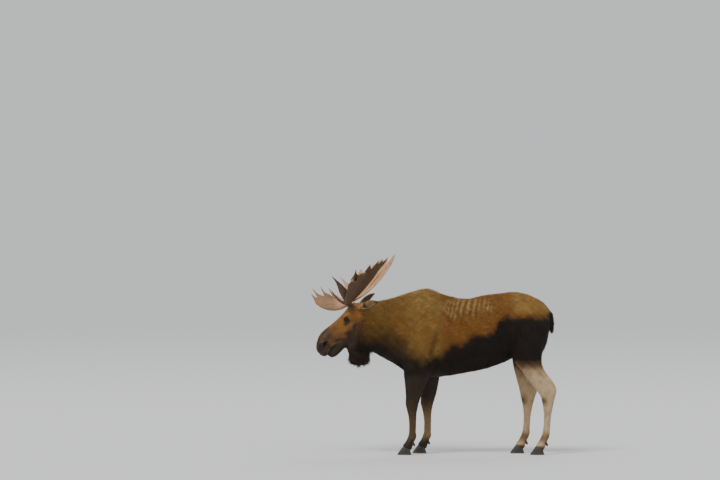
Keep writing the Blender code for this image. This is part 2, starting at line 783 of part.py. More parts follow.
def fore_cuts(side):
    """The cuts down a foreleg: the node below each, then the saw cut's own values."""
    step = fore_step(side)
    return (
        ("forearm", (-0.19 + step / 2, side * 0.20, 0.935), (0, side * 0.35, -0.94), 0.27, 0.27),
        ("fore_cannon", *crossing(FORE_LEG, 5, side * 0.168, step), 0.12, 0.09),
        ("fore_foot", *crossing(FORE_LEG, 8, side * FORE_TRACK, step), 0.09, 0.08),
    )


def hind_cuts(side):
    """The same for a hind leg."""
    rows = hind_sections(side)
    return (
        ("thigh", (1.10, side * 0.19, 1.255), (0.35, side * 0.5, -0.79), 0.32, 0.235),
        ("gaskin", *crossing(rows, 3, side * 0.160), 0.20, 0.13),
        ("hind_cannon", *crossing(rows, 6, side * 0.158), 0.14, 0.10),
        ("hind_foot", *crossing(rows, 9, side * HIND_TRACK), 0.09, 0.08),
    )


def parted_body(body):
    """The body's nodes: a piece is parted from the rest, then sawn again at its own joints."""
    pieces = {}
    pieces["bell"], rest = part_off(body, *BELL_CUT)
    pieces["head"], rest = part_off(rest, *HEAD_CUT)
    pieces["neck"], rest = part_off(rest, *NECK_CUT)
    for side, name in SIDES:
        for cuts in (fore_cuts(side), hind_cuts(side)):
            above, last = None, None
            for node, *cut in cuts:
                if above is None:
                    above, rest = part_off(rest, *cut)
                else:
                    below, above = part_off(above, *cut)
                    pieces[last] = above
                    above = below
                last = f"{node}_{name}"
            pieces[last] = above
    pieces["trunk"] = rest
    return pieces


def parted_antler(side, mesh):
    """Beam, palm and brow palm of one antler."""
    flip = Vector((1, side, 1))
    _, middle, fork = [Vector(p) * flip for p in PALMS[side]["root"]]
    tips = [Vector(row[0]) * flip for row in PALMS[side]["palm"]]
    palm_way = (sum(tips, Vector()) / len(tips) - fork).normalized()
    brow_tips = [Vector(row[1]) * flip for row in PALMS[side]["brow"]]
    brow_way = (sum(brow_tips, Vector()) / len(brow_tips) - fork).normalized()
    palm, rest = part_off(mesh, fork + palm_way * PALM_CUT_AT, palm_way, 0.16, 0.16)
    brow, beam = part_off(rest, fork + brow_way * BROW_CUT_AT, brow_way, 0.14, 0.14)
    return {"beam": beam, "palm": palm, "brow": brow}


# ---- Assembly -----------------------------------------------------------------------------------
FINISHES = {  # colour and roughness of each kind of piece
    "golden_coat": ((0.190, 0.105, 0.045), 0.90),
    "dark_coat": ((0.045, 0.030, 0.024), 0.90),
    "pale_coat": ((0.260, 0.210, 0.160), 0.90),
    "hoof": ((0.040, 0.034, 0.030), 0.55),
    "dark_antler": ((0.085, 0.045, 0.025), 0.60),
    "pale_antler": ((0.420, 0.270, 0.170), 0.60),
    "eye": ((0.020, 0.012, 0.010), 0.08),
}
FINISH_OF = {  # by the first word of a node's name
    "trunk": "golden_coat",
    "neck": "golden_coat",
    "head": "golden_coat",
    "ear": "golden_coat",
    "bell": "dark_coat",
    "tail": "dark_coat",
    "thigh": "dark_coat",
    "forearm": "dark_coat",
    "gaskin": "pale_coat",
    "hind": "pale_coat",
    "fore": "pale_coat",
    "claw": "hoof",
    "dewclaw": "hoof",
    "eye": "eye",
}


def all_pieces():
    body = body_flesh()
    clear_of_body = swollen(body, 2 * GAP)
    pieces = parted_body(body)
    for side, name in SIDES:
        pieces[f"eye_{name}"] = joined("eye", [ball(eye_centre(side), EYE_RADIUS, 12)])
        pieces[f"ear_{name}"] = boolean(ear(side), clear_of_body)
        trimmed = largest_island(boolean(antler(side), clear_of_body))
        for part, mesh in parted_antler(side, trimmed).items():
            pieces[f"antler_{name}_{part}"] = mesh
    pieces["tail"] = boolean(tail(), clear_of_body)
    for name, side, front, rear, y in feet():
        for outer in (LEFT, RIGHT):
            which = f"{name}_{'outer' if outer == side else 'inner'}"
            middle = y + outer * (CLAW_WIDTH + CLEFT) / 2
            half = claw(front - CLAW_TOE, rear + CLAW_HEEL, middle, outer)
            pieces[f"claw_{which}"] = boolean(joined("claw", [half]), clear_of_body)
            spur = dewclaw(rear + DEWCLAW_BACK, y + outer * DEWCLAW_OUT)
            pieces[f"dewclaw_{which}"] = boolean(joined("dewclaw", [spur]), clear_of_body)
    return pieces


def stand_over_origin(pieces):
    """Moves every piece so that the moose's box stands with the middle of its base at the origin."""
    points = [v.co for mesh in pieces.values() for v in mesh.vertices]
    low = [min(p[axis] for p in points) for axis in range(3)]
    high = [max(p[axis] for p in points) for axis in range(3)]
    shift = Vector((-(low[0] + high[0]) / 2, -(low[1] + high[1]) / 2, -low[2]))
    for mesh in pieces.values():
        mesh.transform(Matrix.Translation(shift))


def build():
    clear_scene()
    finishes = {name: material(name, *values) for name, values in FINISHES.items()}
    pieces = all_pieces()
    stand_over_origin(pieces)
    for name, mesh in pieces.items():
        kind = name.split("_")[0]
        if kind == "antler":
            finish = "dark_antler" if "left" in name else "pale_antler"
        else:
            finish = FINISH_OF[kind]
        new_object(name, mesh, finishes[finish])


build()
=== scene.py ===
"""A bull moose in its autumn coat, dressed over its solids: hide, coat, eyes, antlers and hooves."""

import math

import bmesh
import bpy
import numpy as np
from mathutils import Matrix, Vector
from mathutils.kdtree import KDTree


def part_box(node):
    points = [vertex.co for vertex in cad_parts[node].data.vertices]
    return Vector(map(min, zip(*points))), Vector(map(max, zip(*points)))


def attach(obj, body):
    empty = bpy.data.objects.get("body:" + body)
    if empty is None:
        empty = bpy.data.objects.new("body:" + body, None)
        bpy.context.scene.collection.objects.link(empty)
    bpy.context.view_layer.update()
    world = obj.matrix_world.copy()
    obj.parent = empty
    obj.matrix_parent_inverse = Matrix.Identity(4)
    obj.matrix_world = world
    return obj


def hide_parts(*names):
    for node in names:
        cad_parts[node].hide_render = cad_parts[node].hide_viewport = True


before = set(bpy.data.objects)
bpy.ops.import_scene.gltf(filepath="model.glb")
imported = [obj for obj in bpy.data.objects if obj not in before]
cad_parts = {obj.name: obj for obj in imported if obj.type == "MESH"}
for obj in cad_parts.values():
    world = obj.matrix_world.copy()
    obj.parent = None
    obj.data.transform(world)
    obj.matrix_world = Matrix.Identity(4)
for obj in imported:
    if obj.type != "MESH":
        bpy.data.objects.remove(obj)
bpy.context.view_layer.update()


# ---- Hide ---------------------------------------------------------------------------------------
# The skin over the whole animal, from the nose to the pasterns, with no seam. It is made from the
# solids of flesh, which are swollen into one another, fused, smoothed and drawn in by the coat's depth.
FLESH_KINDS = ("trunk", "neck", "head", "bell", "tail", "ear", "forearm", "fore", "thigh", "gaskin", "hind")
SAW_CUT = 0.0005  # each solid swells by this, which closes the thin cuts between them
DOUBLES_WITHIN = 0.00005
VOXELS = {"mode": "VOXEL", "adaptivity": 0.0}
HIDE_VOXEL = 0.0065
HIDE_TRIANGLES = 122000
SMOOTHING_ROUNDS = 90
SIDES = {"left": -1, "right": 1}

flesh = [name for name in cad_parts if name.split("_")[0] in FLESH_KINDS]


def ramp(low, high, value):
    """0 to 1, smoothly, while value goes from low to high."""
    share = np.clip((value - low) / (high - low), 0.0, 1.0)
    return share * share * (3 - 2 * share)


def band(value, low, full_from, full_to, high):
    """0 to 1 from low to full_from, and back to 0 from full_to to high."""
    return ramp(low, full_from, value) * ramp(high, full_to, value)


def toward(value, target, share):
    """The value, drawn towards the target by this share."""
    return value + (target - value) * share


def toward_each(value, steps):
    """The value, drawn in turn towards each target by its share."""
    for target, share in steps:
        value = toward(value, target, share)
    return value


def in_scene(name, data):
    """A new object of this name and data, linked into the scene."""
    made = bpy.data.objects.new(name, data)
    bpy.context.scene.collection.objects.link(made)
    return made


def joined(name, shapes):
    """One mesh of all these bmeshes, which are freed."""
    whole = bmesh.new()
    for shape in shapes:
        mesh = bpy.data.meshes.new(name)
        shape.to_mesh(mesh)
        shape.free()
        whole.from_mesh(mesh)
        bpy.data.meshes.remove(mesh)
    mesh = bpy.data.meshes.new(name)
    whole.to_mesh(mesh)
    whole.free()
    return mesh


def with_modifiers(mesh, *settings, weights=None):
    """The mesh after these modifiers, each given as (type, its values), with a weight for each vertex."""
    obj = in_scene("work", mesh)
    if weights is not None:
        group = obj.vertex_groups.new(name="share")
        for index, weight in enumerate(weights.tolist()):
            if weight > 0:
                group.add((index,), weight, "REPLACE")
    for kind, values in settings:
        modifier = obj.modifiers.new(kind.lower(), kind)
        for key, value in values.items():
            setattr(modifier, key, value)
        if weights is not None:
            modifier.vertex_group = "share"
    bpy.context.view_layer.update()
    graph = bpy.context.evaluated_depsgraph_get()
    made = bpy.data.meshes.new_from_object(obj.evaluated_get(graph))
    bpy.data.objects.remove(obj)
    return made


def swollen_copy(names, by):
    """One mesh of copies of these CAD nodes, each swollen so that it overlaps its neighbours."""
    shapes = []
    for name in names:
        piece = bmesh.new()
        piece.from_mesh(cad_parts[name].data)
        bmesh.ops.remove_doubles(piece, verts=piece.verts, dist=DOUBLES_WITHIN)
        piece.normal_update()
        normals = [vert.normal.copy() for vert in piece.verts]
        for vert, normal in zip(piece.verts, normals):
            vert.co += normal * by
        shapes.append(piece)
    return joined("copy", shapes)


def places_of(mesh):
    found = np.empty(len(mesh.vertices) * 3)
    mesh.vertices.foreach_get("co", found)
    return found.reshape(-1, 3)


def normals_of(mesh):
    found = np.empty(len(mesh.vertices) * 3)
    mesh.vertex_normals.foreach_get("vector", found)
    return found.reshape(-1, 3)


def move_to(mesh, places):
    mesh.vertices.foreach_set("co", places.astype(np.float32).ravel())
    mesh.update()


# Where the head is: the eyes give its middle and its turn, and the face slopes down from the crown.
FACE_SLOPE = math.radians(44)
EYE_ALONG, EYE_ABOVE = 0.183, -0.046
eyes = {side: sum(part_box(f"eye_{side}"), Vector()) / 2 for side in SIDES}
ACROSS = (eyes["right"] - eyes["left"]).normalized()
AHEAD = Vector((0, 0, 1)).cross(ACROSS)
NOSEWARD = AHEAD * math.cos(FACE_SLOPE) - Vector((0, 0, math.sin(FACE_SLOPE)))
CROWNWARD = AHEAD * math.sin(FACE_SLOPE) + Vector((0, 0, math.cos(FACE_SLOPE)))
POLL = (eyes["left"] + eyes["right"]) / 2 - NOSEWARD * EYE_ALONG - CROWNWARD * EYE_ABOVE
MIDDLE_Y = sum(sum(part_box(f"claw_fore_{side}_inner"), Vector()).y / 4 for side in SIDES)


def on_head(places):
    """How far along the face from the poll, above its axis, and out to the right each place lies."""
    away = places - np.array(POLL)
    return away @ np.array(NOSEWARD), away @ np.array(CROWNWARD), away @ np.array(ACROSS)


def past(places, spot, way, reach):
    """0 to 1 across the plane through spot that faces this way, within reach on each side of it."""
    way = np.array(way) / np.linalg.norm(way)
    return ramp(-reach, reach, (places - np.array(spot)) @ way)


def head_share(places):
    return past(places, (-0.857, 0, 1.55), (-0.973, 0, 0.23), 0.07)


def bell_share(places):
    low = past(places, (-0.90, 0, 1.215), (-0.11, 0, -0.994), 0.06)
    return low * band(places[:, 0], -1.08, -1.03, -0.755, -0.70)


def leg_share(places):
    """1 in the free legs, 0 in the body."""
    fore = ramp(1.02, 0.90, places[:, 2]) * band(places[:, 0], -0.5, -0.45, 0.08, 0.16)
    hind = ramp(1.12, 0.98, places[:, 2]) * ramp(0.84, 0.92, places[:, 0])
    return np.maximum(fore, hind)


def torso_share(places):
    """1 in the torso and neck, falling off to the head, the legs, the bell and the tail."""
    above_legs = ramp(0.90, 1.16, places[:, 2])
    behind_head = ramp(-0.97, -0.80, places[:, 0])
    before_tail = ramp(1.395, 1.34, places[:, 0])
    return above_legs * behind_head * before_tail * (1 - 0.8 * bell_share(places))


def ear_share(places):
    """1 in the ears, beyond their roots."""
    along, _, out = on_head(places)
    aside = ramp(0.118, 0.145, np.abs(out)) * ramp(0.10, 0.06, along)
    return aside * ramp(1.665, 1.70, places[:, 2]) * ramp(-0.62, -0.66, places[:, 0])


def tail_share(places):
    off_rump = ramp(1.352, 1.372, places[:, 0]) * ramp(0.075, 0.055, np.abs(places[:, 1] - MIDDLE_Y))
    return off_rump * band(places[:, 2], 1.40, 1.44, 1.70, 1.74)


def coat_depth(places):
    """How deep the hair lies over the skin, in metres."""
    crest = past(places, (-0.30, 0, 1.70), (0, 0, 1), 0.22) * ramp(0.35, 0.05, places[:, 0])
    steps = (
        (0.0045, leg_share(places)),
        (0.0035, head_share(places)),
        (0.0120 + 0.034 * ramp(1.14, 1.05, places[:, 2]), bell_share(places)),
        (0.0020, ear_share(places)),
        (0.0060, tail_share(places)),
    )
    return toward_each(0.011 + 0.007 * crest, steps) * ramp(0.085, 0.150, places[:, 2])


hide = swollen_copy(flesh, SAW_CUT)
hide = with_modifiers(hide, ("REMESH", {**VOXELS, "voxel_size": HIDE_VOXEL}))
smoothing = ("SMOOTH", {"factor": 0.5, "iterations": SMOOTHING_ROUNDS})
places = places_of(hide)
rounded = np.maximum(torso_share(places), 0.05 + 0.09 * ear_share(places) + 0.05 * leg_share(places))
hide = with_modifiers(hide, smoothing, weights=rounded)
hide = with_modifiers(hide, ("TRIANGULATE", {}))
hide = with_modifiers(hide, ("DECIMATE", {"ratio": HIDE_TRIANGLES / len(hide.polygons)}))

places, normals = places_of(hide), normals_of(hide)
move_to(hide, places - normals * coat_depth(places)[:, None])


# ---- Face ---------------------------------------------------------------------------------------
# Lids, nostrils and lips are worked into the hide itself. Each has a flat frame of its own on the side
# of the head: where a place lies on it, and how far it stands out.
EYE_RADIUS = 0.0225
EYE_SUNK = 0.0035  # the eyeball's centre lies this much deeper than its solid's
EYE_TURN = math.radians(14)
APERTURE_HALF_LENGTH, UPPER_LID, LOWER_LID = 0.0200, 0.0120, 0.0092
APERTURE_POWER = 1.75  # 2 would make the opening an ellipse, and 1 a rhombus
LID_REACH, LID_THICKNESS = 0.062, 0.0009  # from the eye's middle, and at its thinnest
LID_SWELL, UPPER_CREASE, LOWER_CREASE, EYE_WRINKLE, DUCT_DEPTH = 0.0022, 0.0016, 0.0012, 0.0011, 0.0045
NOSTRIL_ALONG, NOSTRIL_ABOVE, NOSTRIL_OUT = 0.566, -0.083, 0.090
NOSTRIL_HALF_LENGTH, NOSTRIL_HALF_HEIGHT, NOSTRIL_DEPTH = 0.033, 0.0175, 0.030
NOSTRIL_TURN, NOSTRIL_HOOK = math.radians(-14), 9.0
NOSTRIL_WING, NOSTRIL_WRINKLE = 0.0055, 0.0010  # how far its rim and the folds about it stand out
LIP_FROM, LIP_TO = 0.455, 0.690  # the mouth, from its corner to the front
LIP_GROOVE, UPPER_LIP, LOWER_LIP = 0.0075, 0.0036, 0.0026


def peak(*spans):
    """1 where each value is at its centre, fading away over its width. Each span holds these three."""
    return np.exp(-sum(((value - centre) / width) ** 2 for value, centre, width in spans))


def flat_frame(side, centre, turn, lean):
    """The axes at a spot on the side of the head: towards the nose, up, and out. Lean tips it forwards."""
    out = (ACROSS * SIDES[side] + NOSEWARD * lean).normalized()
    nose = (NOSEWARD * math.cos(turn) + CROWNWARD * math.sin(turn)).normalized()
    nose = (nose - out * nose.dot(out)).normalized()
    up = (CROWNWARD - out * CROWNWARD.dot(out) - nose * CROWNWARD.dot(nose)).normalized()
    return np.array(centre), np.array((nose, up, out))


def in_frame(places, flat):
    centre, axes = flat
    return ((places - centre) @ axes.T).T


EYE_FLATS = {
    side: flat_frame(side, eyes[side] - ACROSS * SIDES[side] * EYE_SUNK, EYE_TURN, 0.22) for side in SIDES
}
NOSTRIL_FLATS = {
    side: flat_frame(
        side,
        POLL + NOSEWARD * NOSTRIL_ALONG + CROWNWARD * NOSTRIL_ABOVE + ACROSS * SIDES[side] * NOSTRIL_OUT,
        NOSTRIL_TURN,
        0.25,
    )
    for side in SIDES
}


def oval_power_sum(nose, up, half_height):
    along, across = np.abs(nose / APERTURE_HALF_LENGTH), np.abs(up / half_height)
    return along**APERTURE_POWER + across**APERTURE_POWER


def from_aperture(nose, up):
    """How far outside the opening between the lids a place lies; negative inside it."""
    half_height = np.where(up > 0, UPPER_LID, LOWER_LID)
    radius = oval_power_sum(nose, up, half_height) ** (1 / APERTURE_POWER)
    return (radius - 1) * np.hypot(nose, up) / np.maximum(radius, 1e-6)


def from_nostril(nose, up):
    """The same for the comma of a nostril, whose front end hooks down."""
    up = up + NOSTRIL_HOOK * np.maximum(nose, 0) ** 2
    radius = np.hypot(nose / NOSTRIL_HALF_LENGTH, up / NOSTRIL_HALF_HEIGHT)
    return (radius - 1) * np.hypot(nose, up) / np.maximum(radius, 1e-6)


def lip_line(places):
    """How far above the line between the lips a place lies, and how much of the mouth is there."""
    along, above, _ = on_head(places)
    line = -0.170 - 0.020 * ramp(0.56, 0.66, along) + 0.006 * np.sin((along - LIP_FROM) * 22)
    return above - line, ramp(LIP_FROM, LIP_FROM + 0.03, along) * ramp(LIP_TO, LIP_TO - 0.02, along)


def refined(mesh, near, cuts):
    """The mesh with the edges between the marked vertices cut in half, this many times over."""
    for _ in range(cuts):
        marked = near(places_of(mesh))
        fine = bmesh.new()
        fine.from_mesh(mesh)
        edges = [edge for edge in fine.edges if marked[edge.verts[0].index] and marked[edge.verts[1].index]]
        bmesh.ops.subdivide_edges(fine, edges=edges, cuts=1, use_grid_fill=True)
        bmesh.ops.triangulate(fine, faces=fine.faces)
        fine.to_mesh(mesh)
        fine.free()
    return mesh


def around_features(reach):
    """A test for the places about the eyes, nostrils and lips, closer about them for a smaller reach."""

    def marked(places):
        near = np.zeros(len(places), bool)
        for side in SIDES:
            for flat, size in ((EYE_FLATS[side], 0.040), (NOSTRIL_FLATS[side], 0.045)):
                nose, up, out = in_frame(places, flat)
                near |= (np.hypot(nose, up) < size * reach) & (np.abs(out) < 0.05)
                if reach < 0.8 and flat is EYE_FLATS[side]:
                    near |= (np.abs(from_aperture(nose, up)) < 0.006 * reach) & (np.abs(out) < 0.05)
        height, mouth = lip_line(places)
        near |= (np.abs(height) < 0.014 * reach) & (mouth > 0) & (reach > 0.8)
        return near

    return marked


def with_lids(places):
    """Draws the hide over each eyeball in two lids, with a fold over the upper one and bags below."""
    for side in SIDES:
        flat = EYE_FLATS[side]
        nose, up, out = in_frame(places, flat)
        radius = np.hypot(nose, up)
        near = (radius < LID_REACH) & (out > -0.03)
        gap = from_aperture(nose, up)
        inside = EYE_RADIUS**2 - radius**2
        ball = np.sqrt(0.5 * (inside + np.sqrt(inside**2 + (0.35 * EYE_RADIUS) ** 4)))
        lid = ball + LID_SWELL * np.sqrt(np.clip(gap / 0.0025, 0, 1))
        lid -= UPPER_CREASE * peak((gap, 0.0085, 0.0018)) * ramp(-0.002, 0.004, up)
        lid -= LOWER_CREASE * peak((gap, 0.0070, 0.0015)) * ramp(0.0, -0.006, up)
        own = ramp(0.003, 0.022, gap)
        wrinkles = EYE_WRINKLE * np.sin(gap / 0.0034 * math.pi)
        wrinkles *= band(gap, 0.010, 0.014, 0.022, 0.040)
        height = lid * (1 - own) + (out + wrinkles * ramp(0.004, -0.010, up)) * own
        below_duct = up + 0.012 + 0.5 * (nose - 0.02)
        height -= DUCT_DEPTH * peak((nose, 0.026, 0.011), (below_duct, 0, 0.0035))
        height = np.maximum(height, np.where(radius < EYE_RADIUS, ball + LID_THICKNESS, height))
        height = np.where(gap < 0, np.minimum(out, ball - 0.006 * np.minimum(1, -gap / 0.0022)), height)
        move = np.where(near, (height - out) * ramp(LID_REACH, 0.048, radius), 0)
        places = places + move[:, None] * flat[1][2]
    return places


def with_nostrils(places):
    for side in SIDES:
        flat = NOSTRIL_FLATS[side]
        nose, up, out = in_frame(places, flat)
        near = (np.hypot(nose, up) < 0.085) & (np.abs(out) < 0.055)
        gap = from_nostril(nose, up)
        hole = -NOSTRIL_DEPTH * ramp(0.001, -0.010, gap)
        wing = NOSTRIL_WING * peak((gap, 0.005, 0.006)) * (0.45 + 0.55 * ramp(-0.01, 0.01, up))
        folds = NOSTRIL_WRINKLE * np.sin(gap / 0.0048 * math.pi) * band(gap, 0.012, 0.018, 0.026, 0.042)
        move = np.where(near, hole + wing + folds, 0)
        places = places + move[:, None] * flat[1][2]
    return places


def with_lips(places, normals):
    height, mouth = lip_line(places)
    groove = -LIP_GROOVE * peak((height, 0, 0.0038))
    upper = UPPER_LIP * peak((height, 0.013, 0.0085))
    lower = LOWER_LIP * peak((height, -0.012, 0.0070))
    return places + normals * ((groove + upper + lower) * mouth)[:, None]


# ---- Folds --------------------------------------------------------------------------------------
# The long hair of the back parts in rows, sinews show down the cannons, and the skin of each foot
# swells over its hooves. They are the last that is worked into the hide before it is placed.
RIPPLES = (
    (-0.03, 0.0, 0.032, 0.063, 0.095, 0.128, 0.165, 0.205)  # where the rows part, along the back
    + (0.252, 0.312, 0.39, 0.46, 0.52, 0.575, 0.62, 0.665, 0.71)
)
RIPPLE_HEIGHT, SINEW_DEPTH, MUSCLE_HEIGHT = 0.0030, 0.0022, 0.0035
CORONET_SWELL, CORONET_DROP = 0.009, 0.024  # how far the skin swells over the hooves, and goes down
REFINED_REACHES = (1.3, 1.0, 0.70)  # how far about the face's features the mesh is cut finer, in turn


def drift(places, size, seed):
    """Smooth noise between -1 and 1, with blotches of about this size in metres."""
    chance = np.random.default_rng(seed)
    total = np.zeros(len(places))
    for _ in range(7):
        wave = chance.normal(size=3)
        wave *= math.pi / size / np.linalg.norm(wave) * chance.uniform(0.6, 1.5)
        total += np.sin(places @ wave + chance.uniform(0, 2 * math.pi))
    return np.clip(total / 3.2, -1, 1)


def ripple_phase(places):
    """The rows into which the long hair behind the shoulder parts: where they are, and their phase."""
    x, z = places[:, 0], places[:, 2]
    there = band(x, -0.03, 0.05, 0.62, 0.74) * ramp(1.86, 1.80, z)
    uneven = 0.05 * drift(places * (1, 1, 0.3), 0.045, 9) + 0.06 * ramp(0.2, 0.6, x)
    there = there * ramp(1.53 + uneven, 1.68 + uneven, z)
    bent = x - (0.32 - 0.22 * ramp(0.2, 0.6, x)) * (z - 1.70) + 0.007 * drift(places * (1, 1, 0.6), 0.15, 3)
    return there, (np.interp(bent, RIPPLES, np.arange(len(RIPPLES))) + 0.25) * 2 * math.pi


def with_folds(places, normals):
    """Ripples in the coat of the back, the sinews of the cannons and the swell above each hoof."""
    there, phase = ripple_phase(places)
    relief = RIPPLE_HEIGHT * there * np.sin(phase)
    cannon = band(places[:, 2], 0.26, 0.34, 0.50, 0.58)
    sideways = np.abs(normals[:, 1])
    relief -= SINEW_DEPTH * cannon * ramp(0.75, 0.98, sideways)
    relief += MUSCLE_HEIGHT * drift(places, 0.16, 5) * torso_share(places)
    coronet = CORONET_SWELL * ramp(0.160, 0.110, places[:, 2])
    places = places + normals * relief[:, None] + normals * (1, 1, 0) * coronet[:, None]
    return places - np.outer(CORONET_DROP * ramp(0.112, 0.088, places[:, 2]), (0, 0, 1))


def finished(name, mesh, slot, *replaced):
    """A finished piece, which rides on the root body and stands in for these nodes of the CAD."""
    piece = in_scene(name, mesh)
    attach(piece, "root")
    if replaced:
        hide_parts(*replaced)


for reach in REFINED_REACHES:
    hide = refined(hide, around_features(reach), 1)
places, normals = places_of(hide), normals_of(hide)
places = with_folds(with_lips(places, normals), normals)
move_to(hide, with_nostrils(with_lids(places)))
hide.shade_smooth()
finished("hide", hide, "golden_coat", *flesh)


# ---- Markings -----------------------------------------------------------------------------------
# The hair is khaki on the hump and croup, rust on the side, and near black below a slanting line, on the
# tail, and about the eyes; the dark below the line and about the eyes is partly painted shade. The masks
# also carry painted light and shade: lit crests and shaded troughs on the rows of the back, shade behind
# the shoulder, the antlers' shadow on the forehead and darker far stockings. Skin and coat both take their
# colours from these masks.
MASKS = ("gold", "dark", "pale", "light", "grey", "bare")
# The slanting line: where it is along the animal, how high, and over how much it fades up and down. Below
# it the coat is dark, partly its own colour and partly painted shade of the lower body.
DARK_LINE_X = (-0.90, -0.55, -0.35, -0.15, 0.09, 0.20, 0.50, 0.70, 0.76, 0.86)
DARK_LINE_Z = (1.46, 1.43, 1.30, 1.16, 1.19, 1.28, 1.41, 1.47, 1.57, 1.62)
DARK_LINE_SOFT = (0.24, 0.24, 0.18, 0.13, 0.09, 0.05, 0.045, 0.04, 0.04, 0.045)


